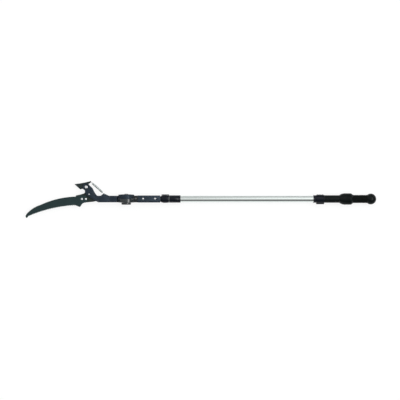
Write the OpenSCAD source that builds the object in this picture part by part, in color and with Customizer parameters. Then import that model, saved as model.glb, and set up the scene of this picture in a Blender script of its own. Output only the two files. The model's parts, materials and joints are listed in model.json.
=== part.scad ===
// Telescoping pole saw and pruner, lying on its side.
// The pole runs along X, the saw is at -X and the ball grip at +X.
// The blades lie in the XY plane, Z is up and z = 0 is the surface it rests on.
// Lengths along X are counted from the swivel axis of the hub.

/* [Pole] */
// Outside diameter of the outer tube
pole_od = 41; // [34:0.5:50]
// Wall of the outer tube
pole_wall = 1.3; // [1:0.1:2]
// Outside diameter of the inner tube
inner_od = 33.5; // [27:0.5:36]
// Wall of the inner tube
inner_wall = 1.5; // [1:0.1:2]
// Bare length of the outer tube between the sleeve and the rear collar
pole_show = 806; // [500:1:1400]
// Running clearance of the telescoping fits, on the radius
fit_gap = 0.08; // [0.04:0.01:0.1]

/* [Front lock] */
// Length of the front lock collar
collar_len = 50; // [42:1:70]
// Length of the sleeve behind the front lock collar
sleeve_len = 69; // [30:1:120]
// Wall of the sleeve
sleeve_wall = 2; // [1.5:0.1:4]

/* [Handle] */
// Clearance between the outer tube and the handle tube, on the radius
handle_play = 1; // [0.6:0.1:2]
// Wall of the handle tube
handle_wall = 1.5; // [1:0.1:3]
// Length of the rear lock collar
rear_collar_len = 66; // [56:1:90]
// Bare length of the handle tube in front of the hand stop
handle_show = 93; // [60:1:160]
// Length of the hand stop
stop_len = 82; // [74:1:110]
// Largest radius of the hand stop
stop_r = 35; // [33:0.5:38]
// Length of the rubber grip
grip_len = 86; // [70:1:130]
// Thickness of the rubber grip
grip_wall = 1.5; // [1:0.1:4]
// Radius of the ball
ball_r = 33; // [31:0.5:36]
// Stroke of the pull grip
pull_stroke = 38; // [20:1:45]

/* [Hub] */
// Radius of the swivel hub
hub_r = 48.5; // [44:0.5:56]
// Height of the hub above the pole axis
hub_top = 28.5; // [26:0.5:36]
// Depth of the hub below the pole axis
hub_bottom = 22; // [20:0.5:28]
// Depth from the pole axis to the hub's flat side
hub_flat = 35; // [35:0.5:38]
// Outside diameter of the swivel spindle
spindle_od = 30; // [24:0.5:34]
// Radius of the clamping knob
knob_r = 29.5; // [24:0.5:40]
// Height of the clamping knob
knob_h = 13; // [9:0.5:20]

/* [Socket] */
// Height and depth of the pole socket
socket_h = 43; // [40:0.5:50]
// Length of the pole socket
socket_len = 137; // [100:1:180]

/* [Arm] */
// Height of the arm
arm_h = 40.6; // [36:0.2:48]
// Depth of the arm
arm_d = 28; // [24:0.5:34]
// Wall of the arm shells
arm_wall = 3; // [2:0.5:4]

/* [Saw] */
// Length of the saw from its front bolt to its tip
saw_len = 336; // [280:1:420]
// Thickness of the saw plate
saw_t = 1.8; // [1.2:0.1:2.5]
// Pitch of the saw teeth
tooth_pitch = 5.6; // [5:0.2:9]
// Depth of the saw teeth
tooth_h = 4.2; // [2:0.2:6]

/* [Pruner] */
// Distance of the pruner pivot ahead of the swivel axis
pivot_out = 242.8; // [230:0.5:260]
// Height of the pruner pivot above the pole axis
pivot_up = 72.9; // [71:0.5:78]
// Thickness of the pruning blade
cutter_t = 3.5; // [2.5:0.1:3.5]
// Thickness of the jaw plate
jaw_t = 5; // [4:0.5:6]
// Radius of the strap drum on the pruning blade
drum_r = 16.5; // [14:0.5:17]
// Outside diameter of the return spring
spring_od = 13.5; // [10:0.5:15]
// Diameter of the return spring's wire
spring_wire = 2; // [1.4:0.1:2.4]

/* [Hidden] */
$fn = 64;

big = 400;                 // larger than anything that it cuts
apart = 0.3;               // gap between parts that move past each other
seat = 0.04;               // gap of a fixed fit, on the radius
pole_r = pole_od / 2;
pole_ir = pole_r - pole_wall;
inner_r = inner_od / 2;
inner_ir = inner_r - inner_wall;
handle_ir = pole_r + handle_play;
handle_r = handle_ir + handle_wall;
grip_r = handle_r + grip_wall;
lie_h = max(stop_r, hub_flat);
cap_r = 12;                                     // radius of the cap on the hub
washer_r = min(hub_flat, hub_r) - 3;            // radius of the thrust washer

// Places along X, counted from the swivel axis
neck_x = 69;                                    // hub end of the socket
socket_end = neck_x + socket_len;
collar_x = socket_end + 4;                      // front of the front collar
tube_x = collar_x + 4;                          // front of the outer tube
sleeve_x = collar_x + collar_len + 1;
rear_x = sleeve_x + sleeve_len + pole_show + 1; // front of the rear collar
handle_x = rear_x + rear_collar_len;            // bare handle tube starts
stop_x = handle_x + handle_show;
grip_x = stop_x + stop_len;
ball_seat = sqrt(ball_r * ball_r - grip_r * grip_r);
ball_x = grip_x + grip_len + ball_seat;
end_x = ball_x + ball_r;
tube_end = stop_x + 44;                         // rear end of the outer tube
inner_end = tube_end - 20;                      // rear end of the inner tube
plug_x = grip_x + grip_len - 14;                // front of the end plug
plug_len = 12;
piston_len = 12;
piston_x = plug_x - pull_stroke - piston_len - 2;

// Saw outline, counted from the front saw bolt
bolt_gap = 24.4;
saw_bolt_x = -269.4;
saw_tip_x = saw_bolt_x - saw_len;
saw_drop = -110;                                // tip of the saw below the pole axis

// Pruner
pivot = [-pivot_out, pivot_up];
post_at = [25.8, 32.6];                         // spring post, counted from the pivot
post = pivot + post_at;
anchor = [-135, 32];
spring_dir = atan2(post.y - anchor.y, post.x - anchor.x);
spring_len = norm(post - anchor);
coil_start = 8;
coil_end = spring_len - 10;
boss_r = 22;
roller_at = pivot + [17.8, -43.9];
roller_r = 5;
pin_r = 1.75;
blade_z = 0.3;                                  // back face of the pruning blade
drum_z = blade_z + cutter_t;
drum_t = 5;
cover_z = drum_z + apart;                       // inner face of the cover over the blade
shell_z = arm_d / 2;
block_x = -120;                                 // centre of the floating pulley
sheave_r = 9;
cable_r = 1.5;

// Placing the pole axis over the origin, with the box of the part centred on it
front_x = saw_tip_x - 7;
box_top = post.y + 4.4;
box_low = saw_drop - 6.4;
module lay() {
  translate([-(front_x + end_x) / 2, -(box_top + box_low) / 2, lie_h]) children();
}

// Centre of the circle through three points
function centre(a, b, c) =
  let (d = 2 * (a.x * (b.y - c.y) + b.x * (c.y - a.y) + c.x * (a.y - b.y)))
  [
    (a * a * (b.y - c.y) + b * b * (c.y - a.y) + c * c * (a.y - b.y)) / d,
    (a * a * (c.x - b.x) + b * b * (a.x - c.x) + c * c * (b.x - a.x)) / d
  ];

// Points of the arc that runs from a through b to c in n steps
function arc(a, b, c, n) =
  let (
    o = centre(a, b, c),
    r = norm(a - o),
    t0 = atan2(a.y - o.y, a.x - o.x),
    t2 = atan2(c.y - o.y, c.x - o.x),
    turn = (t2 - t0 + 540) % 360 - 180
  )
  [for (i = [0:n]) o + r * [cos(t0 + turn * i / n), sin(t0 + turn * i / n)]];

// A solid of the profile in the XY plane between two heights
module slab(z0, z1) { translate([0, 0, z0]) linear_extrude(z1 - z0) children(); }

// A solid turned about the pole axis; the profile's x is the radius and its y runs along X
module about_pole() { rotate([0, 90, 0]) rotate_extrude($fn = 96) children(); }

// A solid turned about the swivel axis; the profile's y runs along Y
module about_swivel() { rotate([-90, 0, 0]) mirror([0, 1, 0]) rotate_extrude($fn = 96) children(); }

module tube_x(x0, x1, r, ir) {
  translate([x0, 0, 0]) rotate([0, 90, 0]) difference() {
    cylinder(h = x1 - x0, r = r, $fn = 96);
    translate([0, 0, -1]) cylinder(h = x1 - x0 + 2, r = ir, $fn = 96);
  }
}

module rod_x(x0, x1, r) { translate([x0, 0, 0]) rotate([0, 90, 0]) cylinder(h = x1 - x0, r = r); }

module rod_y(y0, y1, r) { translate([0, y0, 0]) rotate([-90, 0, 0]) cylinder(h = y1 - y0, r = r); }

module rod_z(at, z0, z1, r) { translate([at.x, at.y, z0]) cylinder(h = z1 - z0, r = r); }

// A straight strip of the given width from a to b
module strip(a, b, w) {
  translate(a) rotate(atan2(b.y - a.y, b.x - a.x)) translate([0, -w / 2]) square([norm(b - a), w]);
}

// ---------- head: frame, cover and plates ----------

arm_x = -(hub_r + 1);                           // the arm meets the hub here
arm_y = arm_h / 2;

// Outline of the casting, seen along Z: boss, neck and arm
module casting_outline() {
  translate(pivot) circle(boss_r, $fn = 96);
  difference() {
    polygon([
      pivot + [-14, -12], pivot + [-6, -38], [-239, 22], [-196, -5], [-183, -13], [-170, -arm_y],
      [arm_x, -arm_y], [arm_x, arm_y - 0.6], [anchor.x + 29, arm_y - 0.6], [anchor.x + 6, anchor.y - 1],
      [anchor.x - 4, anchor.y + 2], [anchor.x - 9, anchor.y - 4], [anchor.x - 20, arm_y - 0.6],
      [-175, arm_y - 0.6], [-182, 25], [-189, 35], [-195, 45], [-200, 55], [-205, 66], pivot + [20, 9]
    ]);
    translate([-267, 47]) circle(16.5, $fn = 96);
  }
}

// Room inside both arm shells for the strap and the floating pulley
module arm_room() {
  translate([-178, -arm_y + arm_wall]) square([178 - 58, arm_h - 2 * arm_wall - 0.6]);
}

// Slot that the strap takes through the neck
module neck_slot() {
  strip(pivot + [-15, -6], roller_at + [-3, -2], 7);
  translate(roller_at) circle(roller_r + 2.5);
  strip(roller_at + [1, -3], [-176, -4], 13);
}

// Where the drum and the root of the blade turn
module drum_room(z0, z1) { rod_z(pivot, z0, z1, drum_r + 3.4); }

// Cover screws: two in the casting, two in the arm and two clear of the hub
arm_screw_y = [arm_h / 2 - 5.8, 5.3 - arm_h / 2];
hub_screw_x = -(hub_r + 9.5);
cover_screw_at = [
  [-196, 30], [-168, -13], [-100, arm_screw_y[0]], [-100, arm_screw_y[1]],
  [hub_screw_x, arm_screw_y[0]], [hub_screw_x, arm_screw_y[1]]
];

module cover_holes(r, z0, z1) {
  for (at = cover_screw_at) rod_z(at, z0, z1, r);
}

module hub_dome() {
  intersection() {
    about_swivel() polygon(concat(
      [[0, apart], [hub_r, apart], [hub_r, hub_top - 4]],
      arc([hub_r - 1, hub_top - 2.5], [hub_r * 0.7, hub_top - 0.8], [cap_r + 0.5, hub_top], 8),
      [[0, hub_top]]
    ));
    hub_side();
  }
}

// The hub is round in front and flat on the side that it rests on
module hub_side() { translate([-big / 2, -big / 2, -hub_flat]) cube(big); }

module head_frame() {
  color([0.13, 0.15, 0.17]) lay() difference() {
    union() {
      slab(-shell_z, 0) casting_outline();
      translate([arm_x, -arm_y, -shell_z]) cube([14, arm_h - 0.6, arm_d]);
      hub_dome();
    }
    rod_y(-big, 0, hub_r + 0.8);
    rod_y(0, hub_top - 7, spindle_od / 2 + 0.05);
    rod_y(0, hub_top - 3, 8);
    rod_x(-70, 0, 5);
    slab(-shell_z + arm_wall, shell_z - arm_wall) arm_room();
    slab(-jaw_t, 1) jaw_outline();
    rod_z(pivot, -big, big, 4.5);
    cover_holes(1.9, -shell_z + 4, big);
    rod_z(anchor, -big, big, 2);
    rod_z(anchor, -spring_od / 2 - 2.2, 1, 7);
    rod_z(roller_at, -shell_z + 3, big, pin_r);
    for (i = [0, 1]) rod_z([saw_bolt_x + i * bolt_gap, 0], -big, big, 7.2);
  }
}

module head_cover() {
  color([0.16, 0.18, 0.21]) lay() difference() {
    slab(0, shell_z) difference() {
      casting_outline();
      translate([arm_x - 6, -big]) square(2 * big);
    }
    // The blade swings between the plate and the cover
    rod_z(pivot, -1, cover_z, boss_r + 16);
    slab(-1, cover_z)
      translate(pivot) polygon([[0, 0], [44, 6], [44, 60], [-60, 60], [-60, -60], [-6, -60]]);
    drum_room(-1, drum_z + drum_t + apart);
    slab(-1, shell_z - arm_wall) arm_room();
    slab(-1, drum_z + drum_t + apart) neck_slot();
    rod_z(pivot, -big, big, 4.5);
    rod_z(pivot, shell_z - 2, big, 10.5);
    difference() {
      rod_z(pivot, shell_z - 2, big, 16.5);
      rod_z(pivot, shell_z - 3, big, 12.5);
    }
    cover_holes(1.9, -1, big);
    cover_holes(3.4, shell_z - 2, big);
    rod_z(anchor, -big, big, 2);
    rod_z(anchor, -1, spring_od / 2 + 0.6, 7);
    rod_z(roller_at, -1, big, pin_r);
  }
}

module jaw_outline() {
  difference() {
    polygon(concat(
      [[-307, 2], [-307, 19], [-304, 22], [-275, 28], [-262, 33], [-248, 40]],
      [for (a = [215:-10:-35]) pivot + 19 * [cos(a), sin(a)]],
      [
        [-214, 40], [-183, 12], [-183, -13], [-204, -17.5],
        [-231, -19.5], [-257, -23], [-275, -20], [-296, -10]
      ]
    ));
    translate([-267, 47]) circle(16, $fn = 96);
  }
}

module jaw_plate() {
  color([0.24, 0.25, 0.26]) lay() difference() {
    slab(-jaw_t, 0) jaw_outline();
    rod_z(pivot, -big, big, 5.6);
    rod_z(roller_at, -big, big, pin_r);
    rod_z([-196, 30], -big, big, 1.9);
    for (i = [0, 1]) rod_z([saw_bolt_x + i * bolt_gap, 0], -big, big, 3.05);
  }
}

// Saw teeth along an arc: each tooth stands tooth_h out of the edge and leans to the hub
saw_heel = [-312, -40.5];
saw_toe = [saw_tip_x + 6, saw_drop + 0.5];
saw_sag = (saw_heel + saw_toe) / 2 + [0, 13.8];
edge_c = centre(saw_heel, saw_sag, saw_toe);
edge_r = norm(saw_heel - edge_c);
heel_a = atan2(saw_heel.y - edge_c.y, saw_heel.x - edge_c.x);
toe_a = atan2(saw_toe.y - edge_c.y, saw_toe.x - edge_c.x);
tooth_n = floor(edge_r * (toe_a - heel_a) * PI / 180 / tooth_pitch);

function on_edge(i, r) =
  let (a = heel_a + (toe_a - heel_a) * i / tooth_n) edge_c + r * [cos(a), sin(a)];

module saw_outline() {
  tip = [saw_tip_x, saw_drop];
  mid = [tip.x + 86, tip.y + 75];
  polygon(concat(
    [for (i = [0:tooth_n - 1], s = [0, 1]) on_edge(i + s * 0.72, edge_r + (1 - s) * tooth_h)],
    [tip + [4, -3], tip + [-1, -6], tip + [-6, 1], tip + [-6.5, 8], tip + [-1, 18]],
    arc(tip + [3, 23], tip + [47, 58], mid, 6),
    arc(mid, [(mid.x - 313) / 2 + 6, (mid.y + 15) / 2 + 12], [-316, 14.5], 12),
    [[-308, 14.5], [-303, 19], [-275, 24], [-262, 22.5], [-248, 19.5], [-238, 12], [-236, -4], [-236, -18]],
    arc([-240, -19.5], [-256, -22.5], [-268, -30], 4),
    [[-277, -43], [-281, -48.5], [-284, -48.5], [-292, -45], [-303, -41]]
  ));
}

module saw_blade() {
  color([0.10, 0.20, 0.19]) lay() difference() {
    slab(0, saw_t) saw_outline();
    for (i = [0, 1]) rod_z([saw_bolt_x + i * bolt_gap, 0], -1, 9, 3.05);
  }
}

module saw_bolts() {
  color([0.86, 0.88, 0.90]) lay() for (i = [0, 1]) translate([saw_bolt_x + i * bolt_gap, 0, 0]) {
    rotate_extrude() polygon([
      [0, -jaw_t - 6.4], [3, -jaw_t - 6.4], [3, saw_t], [6.6, saw_t], [6.6, saw_t + 1.6],
      [5.4, saw_t + 3], [3, saw_t + 3.7], [0, saw_t + 3.9]
    ]);
  }
}

module saw_nuts() {
  color([0.70, 0.72, 0.74]) lay() for (i = [0, 1])
    translate([saw_bolt_x + i * bolt_gap, 0, -jaw_t - 5]) difference() {
      cylinder(h = 5, r = 5.8, $fn = 6);
      translate([0, 0, -1]) cylinder(h = 7, r = 3);
    }
}

module pivot_bolt() {
  color([0.88, 0.90, 0.92]) lay() translate([pivot.x, pivot.y, 0]) rotate_extrude() polygon([
    [0, -shell_z - 6], [4.5, -shell_z - 6], [4.5, shell_z - 2], [9.2, shell_z - 2],
    [9.2, shell_z + 0.6], [7.6, shell_z + 2.2], [4, shell_z + 3], [0, shell_z + 3.2]
  ]);
}

module pivot_nut() {
  color([0.70, 0.72, 0.74]) lay() translate([pivot.x, pivot.y, -shell_z - 5]) difference() {
    cylinder(h = 5, r = 8, $fn = 6);
    translate([0, 0, -1]) cylinder(h = 7, r = 4.5);
  }
}

module pivot_bush() {
  color([0.72, 0.60, 0.30]) lay() translate([pivot.x, pivot.y, -jaw_t]) difference() {
    cylinder(h = jaw_t + drum_z + drum_t, r = 5.6);
    translate([0, 0, -1]) cylinder(h = big, r = 4.5);
  }
}

module guide_roller() {
  color([0.80, 0.81, 0.80]) lay() translate([roller_at.x, roller_at.y, drum_z + apart]) difference() {
    cylinder(h = drum_t - apart, r = roller_r);
    translate([0, 0, -1]) cylinder(h = drum_t + 2, r = pin_r + 0.05);
  }
}

module roller_pin() {
  color([0.80, 0.82, 0.84]) lay() {
    rod_z(roller_at, -shell_z + 3, shell_z, pin_r);
    rod_z(roller_at, shell_z, shell_z + 1.4, 3.4);
  }
}

// The strap leaves the drum on the mouth side and turns round the roller
strap_w = 1.2;
strap_n = (roller_at - pivot) / norm(roller_at - pivot);
strap_side = [strap_n.y, -strap_n.x];
module neck_strap() {
  color([0.07, 0.07, 0.08]) lay() slab(drum_z + apart, drum_z + drum_t - apart)
    strip(
      pivot + strap_side * (drum_r + 0.9) + strap_n * 3,
      roller_at + strap_side * (roller_r + 0.9),
      strap_w
    );
}

module cover_screws() {
  color([0.32, 0.33, 0.35]) lay()
    for (at = cover_screw_at) {
      rod_z(at, -shell_z + 4, shell_z - 2, 1.9);
      rod_z(at, shell_z - 2, shell_z - 0.2, 3.3);
    }
}

module spring_anchor() {
  color([0.75, 0.77, 0.78]) lay() rod_z(anchor, -shell_z, shell_z, 1.95);
}

module swivel_spindle() {
  color([0.62, 0.64, 0.66]) lay() difference() {
    union() {
      rod_y(-hub_bottom - knob_h + 2, hub_top - 7, spindle_od / 2);
      rod_y(hub_top - 7, hub_top - 3, 7.9);
    }
    rod_y(-big, hub_top - 10, spindle_od / 2 - 5);
    rod_x(-40, 0, 5);
    // Window for the cable, wide enough for the whole swing
    intersection() {
      translate([-4, -6.5, -big / 2]) cube([big, 13, big]);
      rod_y(-7, 7, spindle_od);
    }
  }
}

module swivel_cap() {
  color([0.10, 0.11, 0.13]) lay() about_swivel() polygon([
    [0, hub_top], [cap_r, hub_top], [cap_r, hub_top + 1], [cap_r - 1.5, hub_top + 2.6], [0, hub_top + 3.2]
  ]);
}

module thrust_washer() {
  color([0.75, 0.72, 0.60]) lay() difference() {
    rod_y(-apart - 0.1, apart, washer_r);
    rod_y(-1, 1, spindle_od / 2 + 0.5);
  }
}

// ---------- pruning blade ----------

module pruning_blade() {
  color([0.12, 0.15, 0.15]) lay() difference() {
    slab(blade_z, blade_z + cutter_t) translate(pivot) {
      circle(17.5, $fn = 96);
      polygon(concat(
        [[-70.2, 17.6], [-71, 16.2], [-38.5, -13.2], [-36, -14.2]],
        arc([-33, -14], [-24, -11.5], [-13, -11.7], 4),
        [[10, 14], [27.5, 27.5], [30.2, 31.5], [29.8, 35], [26.5, 37], [19, 33.5]],
        arc([11, 32], [-18, 25.5], [-48, 20.5], 5)
      ));
    }
    rod_z(pivot, -1, 9, 5.65);
    rod_z(post, -1, 9, 2);
  }
}

module strap_drum() {
  color([0.55, 0.57, 0.58]) lay() translate([pivot.x, pivot.y, drum_z]) difference() {
    cylinder(h = drum_t, r = drum_r);
    translate([0, 0, -1]) cylinder(h = drum_t + 2, r = 5.65);
  }
}

module spring_post() {
  color([0.55, 0.50, 0.46]) lay() {
    rod_z(post, spring_z - 2.9, spring_z - 1.4, 3.4);
    rod_z(post, spring_z - 1.4, drum_z, 1.95);
    rod_z(post, drum_z, drum_z + 1.4, 3.4);
  }
}

// ---------- return spring, drawn along its own axis from the anchor to the post ----------

spring_z = -1.6;                                // middle plane of the spring, behind the pruning blade
module along_spring() {
  translate([anchor.x, anchor.y, spring_z]) rotate(spring_dir) children();
}

// A flat eye of wire round a pin
module eye(x, r) {
  translate([x, 0, 0]) rotate_extrude()
    translate([r + spring_wire / 2, 0]) circle(spring_wire / 2, $fn = 24);
}

coil_n = 26;
coil_steps = 12;
coil_rr = (spring_od - spring_wire) / 2;
coil_sides = 6;
function coil_at(i) =
  let (n = coil_n * coil_steps, a = 360 * i / coil_steps)
  [coil_start + (coil_end - coil_start) * i / n, coil_rr * cos(a), coil_rr * sin(a)];
function coil_ring(i) =
  let (a = 360 * i / coil_steps, p = coil_at(i))
  [for (k = [0:coil_sides - 1])
    let (b = 360 * k / coil_sides, r = spring_wire / 2)
    p + r * [cos(b), sin(b) * cos(a), sin(b) * sin(a)]];

module return_spring() {
  n = coil_n * coil_steps;
  pts = [for (i = [0:n]) each coil_ring(i)];
  color([0.78, 0.80, 0.79]) lay() along_spring() polyhedron(
    points = pts,
    faces = concat(
      [[for (k = [0:coil_sides - 1]) k]],
      [for (i = [0:n - 1], k = [0:coil_sides - 1])
        let (a = i * coil_sides + k, b = i * coil_sides + (k + 1) % coil_sides)
        [a, a + coil_sides, b + coil_sides, b]],
      [[for (k = [coil_sides - 1:-1:0]) n * coil_sides + k]]
    )
  );
}

module lower_hook() {
  color([0.72, 0.74, 0.73]) lay() along_spring() {
    eye(0, 2.1);
    translate([3, 0, 0]) rotate([0, 90, 0]) cylinder(h = coil_start - 4, r = spring_wire / 2);
    translate([coil_start - 3, 0, 0]) rotate([0, 90, 0]) cylinder(h = 1.6, r = coil_rr);
  }
}

module upper_hook() {
  color([0.72, 0.74, 0.73]) lay() along_spring() {
    translate([coil_end + 1.3, 0, 0]) rotate([0, 90, 0]) cylinder(h = 1.6, r = coil_rr);
    translate([coil_end + 2, 0, 0]) rotate([0, 90, 0])
      cylinder(h = spring_len - coil_end - 5, r = spring_wire / 2);
    eye(spring_len, 2.35);
  }
}

// ---------- floating pulley in the arm ----------

module pulley_block() {
  color([0.45, 0.47, 0.49]) lay() {
    for (z = [-6.5, 5]) slab(z, z + 1.5) difference() {
      translate([block_x - 16, -8]) square([26, 16]);
      translate([block_x, 0]) circle(2);
    }
    rod_z([block_x, 0], -6.5, 6.5, 2);
    translate([block_x - 16, apart + arm_wall - arm_y, -shell_z + arm_wall + apart])
      cube([3, arm_h - 0.6 - 2 * (arm_wall + apart), arm_d - 2 * (arm_wall + apart)]);
  }
}

module arm_strap() {
  color([0.07, 0.07, 0.08]) lay() translate([block_x - 46, -strap_w / 2, -2.5]) cube([30, strap_w, 5]);
}

module block_sheave() {
  color([0.85, 0.84, 0.80]) lay() translate([block_x, 0, 0]) rotate_extrude() polygon([
    [2.05, -4.5], [sheave_r, -4.5], [sheave_r - 2, -1.5], [sheave_r - 2, 1.5], [sheave_r, 4.5], [2.05, 4.5]
  ]);
}

module head_cable() {
  leg_y = sheave_r - 2 + cable_r + 0.3;
  color([0.80, 0.80, 0.78]) lay() {
    for (s = [-1, 1]) translate([0, s * leg_y, 0]) rod_x(block_x, -80, cable_r);
    intersection() {
      translate([block_x, 0, 0]) rotate_extrude() translate([leg_y, 0]) circle(cable_r, $fn = 24);
      translate([block_x - 40, -20, -20]) cube([40, 40, 40]);
    }
  }
}

// ---------- hub, pole side ----------

module swivel_knob() {
  color([0.07, 0.08, 0.09]) lay() difference() {
    about_swivel() polygon([
      [spindle_od / 2 + 0.05, -hub_bottom - apart], [knob_r - 1, -hub_bottom - apart],
      [knob_r, -hub_bottom - 1.5], [knob_r, -hub_bottom - knob_h + 3],
      [knob_r - 3, -hub_bottom - knob_h], [spindle_od / 2 + 0.05, -hub_bottom - knob_h]
    ]);
    for (i = [0:17]) rotate([0, i * 20, 0]) translate([knob_r + 1.4, -big / 2, 0])
      rotate([-90, 0, 0]) cylinder(h = big, r = 2.4, $fn = 16);
  }
}

module socket_profile() {
  intersection() {
    square(socket_h, center = true);
    circle(socket_h * 0.62, $fn = 96);
  }
}

boss_at = [neck_x - 10, 3];
neck_boss_r = 14.5;
module swivel_base() {
  color([0.09, 0.11, 0.14]) lay() difference() {
    union() {
      intersection() {
        about_swivel() polygon([
          [0, -apart], [hub_r, -apart], [hub_r, -hub_bottom + 2], [hub_r - 2, -hub_bottom], [0, -hub_bottom]
        ]);
        hub_side();
      }
      translate([20, -socket_h / 2 + 1, -20]) cube([neck_x - 20, socket_h - 2, 40]);
      rod_z(boss_at, -20.4, 20.4, neck_boss_r);
    }
    rod_y(-apart, big, hub_r + 0.8);
    rod_y(-big, big, spindle_od / 2 + 0.05);
    rod_y(-apart - 0.4, big, washer_r + apart);
    translate([spindle_od / 2 - 6, -7, 0]) rod_x(0, 80, 5.5);
    rod_z(boss_at, 14, big, 2.6);
  }
}

module neck_screw() {
  color([0.55, 0.57, 0.60]) lay() {
    rod_z(boss_at, 14, 20.4, 2.6);
    rod_z(boss_at, 20.4, 22.4, 4.6);
  }
}

screw_at = [neck_x + 34, neck_x + 106];
module pole_socket() {
  color([0.24, 0.28, 0.33]) lay() difference() {
    translate([neck_x, 0, 0]) rotate([90, 0, 90]) linear_extrude(socket_len) socket_profile();
    rod_x(neck_x + 5, socket_end + 1, inner_r + seat);
    rod_z(boss_at, -big, big, neck_boss_r + seat);
    rod_x(neck_x - 1, neck_x + 6, 8);
    for (x = screw_at) rod_z([x, 2], 0, big, 2.5);
  }
}

module socket_screws() {
  color([0.85, 0.87, 0.89]) lay() for (x = screw_at) {
    rod_z([x, 2], inner_ir - 3, socket_h / 2, 2.45);
    translate([x, 2, socket_h / 2]) rotate_extrude()
      polygon([[0, 0], [5.6, 0], [5.6, 1.2], [4.4, 2.4], [0, 3]]);
  }
}

// ---------- tubes ----------

module inner_tube() {
  color([0.10, 0.11, 0.12]) lay() difference() {
    tube_x(neck_x + 5, inner_end, inner_r, inner_ir);
    for (x = screw_at) rod_z([x, 2], 0, big, 2.5);
  }
}

module inner_bush() {
  color([0.75, 0.76, 0.74]) lay() tube_x(inner_end - 30, inner_end - 2, pole_ir - fit_gap, inner_r + seat);
}

module outer_tube() {
  color([0.78, 0.80, 0.80]) lay() tube_x(tube_x, tube_end, pole_r, pole_ir);
}

module front_bush() {
  color([0.75, 0.76, 0.74]) lay() tube_x(tube_x, tube_x + 40, pole_ir - seat, inner_r + fit_gap);
}

module pole_ring() {
  color([0.75, 0.76, 0.74]) lay() tube_x(tube_end - 22, tube_end - 4, handle_ir - fit_gap, pole_r + seat);
}

// ---------- lever locks: a collar, a pin along X and a lever that wraps the front ----------

lever_in = 1.4;                                 // the collar is turned down this much under the lever
lever_t = 2.6;
knuckle_r = 2.9;
lever_pin_r = 1.2;

// Ring sector about the pole axis from angle a0 to a1, counted from +Y towards +Z
module ring_sector(x0, x1, ir, r, a0, a1) {
  rotate([a0, 0, 0]) translate([x0, 0, 0]) rotate([0, 90, 0]) rotate([0, 0, 90])
    rotate_extrude(angle = a1 - a0, $fn = 96) translate([ir, 0]) square([r - ir, x1 - x0]);
}

front_collar_r = pole_r + 2.6;
front_lever_x = [collar_x + 9, collar_x + 46];
front_pin_at = [front_collar_r - lever_in + knuckle_r + 0.5, -2];

module front_collar() {
  color([0.06, 0.07, 0.10]) lay() difference() {
    union() {
      about_pole() polygon([
        [inner_r + 0.5, collar_x], [inner_r + 1.6, collar_x], [front_collar_r - 1, collar_x + 8],
        [front_collar_r, collar_x + 8], [front_collar_r, front_lever_x[0] - apart],
        [front_collar_r - lever_in, front_lever_x[0] - apart],
        [front_collar_r - lever_in, front_lever_x[1] + apart],
        [front_collar_r, front_lever_x[1] + apart], [front_collar_r, collar_x + collar_len],
        [pole_r + seat, collar_x + collar_len], [pole_r + seat, tube_x - 0.1], [inner_r + 0.5, tube_x - 0.1]
      ]);
      for (x = [front_lever_x[0] - apart - 4, front_lever_x[1] + apart])
        intersection() {
          translate([x, pole_r - 4, -8]) cube([4, front_pin_at.x - pole_r + knuckle_r + 4, 12]);
          tube_x(x, x + 4, front_pin_at.x + knuckle_r, pole_r + 2 * seat);
        }
    }
    translate([0, front_pin_at.x, front_pin_at.y]) rod_x(collar_x, sleeve_x, lever_pin_r);
  }
}

module front_lever_pin() {
  color([0.70, 0.72, 0.74]) lay() translate([0, front_pin_at.x, front_pin_at.y])
    rod_x(front_lever_x[0] - apart - 3.6, front_lever_x[1] + apart + 3.6, lever_pin_r - 0.02);
}

module front_lever() {
  lever_ir = front_collar_r - lever_in + apart;
  mid = (front_lever_x[0] + front_lever_x[1]) / 2;
  color([0.05, 0.06, 0.09]) lay() difference() {
    union() {
      intersection() {
        ring_sector(front_lever_x[0], front_lever_x[1], lever_ir, lever_ir + lever_t, 0, 165);
        translate([mid, 0, 0]) cylinder(h = 60, r = lever_ir + lever_t + 1.8, $fn = 96);
      }
      translate([0, front_pin_at.x, front_pin_at.y]) rod_x(front_lever_x[0], front_lever_x[1], knuckle_r);
    }
    translate([0, front_pin_at.x, front_pin_at.y]) rod_x(0, sleeve_x, lever_pin_r + 0.03);
  }
}

module collar_sleeve() {
  color([0.05, 0.06, 0.09]) lay() about_pole() polygon([
    [pole_r + seat, sleeve_x], [pole_r + sleeve_wall - 0.6, sleeve_x], [pole_r + sleeve_wall, sleeve_x + 1],
    [pole_r + sleeve_wall, sleeve_x + sleeve_len - 2], [pole_r + sleeve_wall - 1, sleeve_x + sleeve_len],
    [pole_r + seat, sleeve_x + sleeve_len]
  ]);
}

rear_collar_r = handle_r + 1.8;
rear_in = 0.6;                                  // turned down under the rear lever
rear_lever_x = [rear_x + 22, rear_x + 61];
rear_pin_at = [-(rear_collar_r - rear_in + knuckle_r + 1.6), -2];

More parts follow.
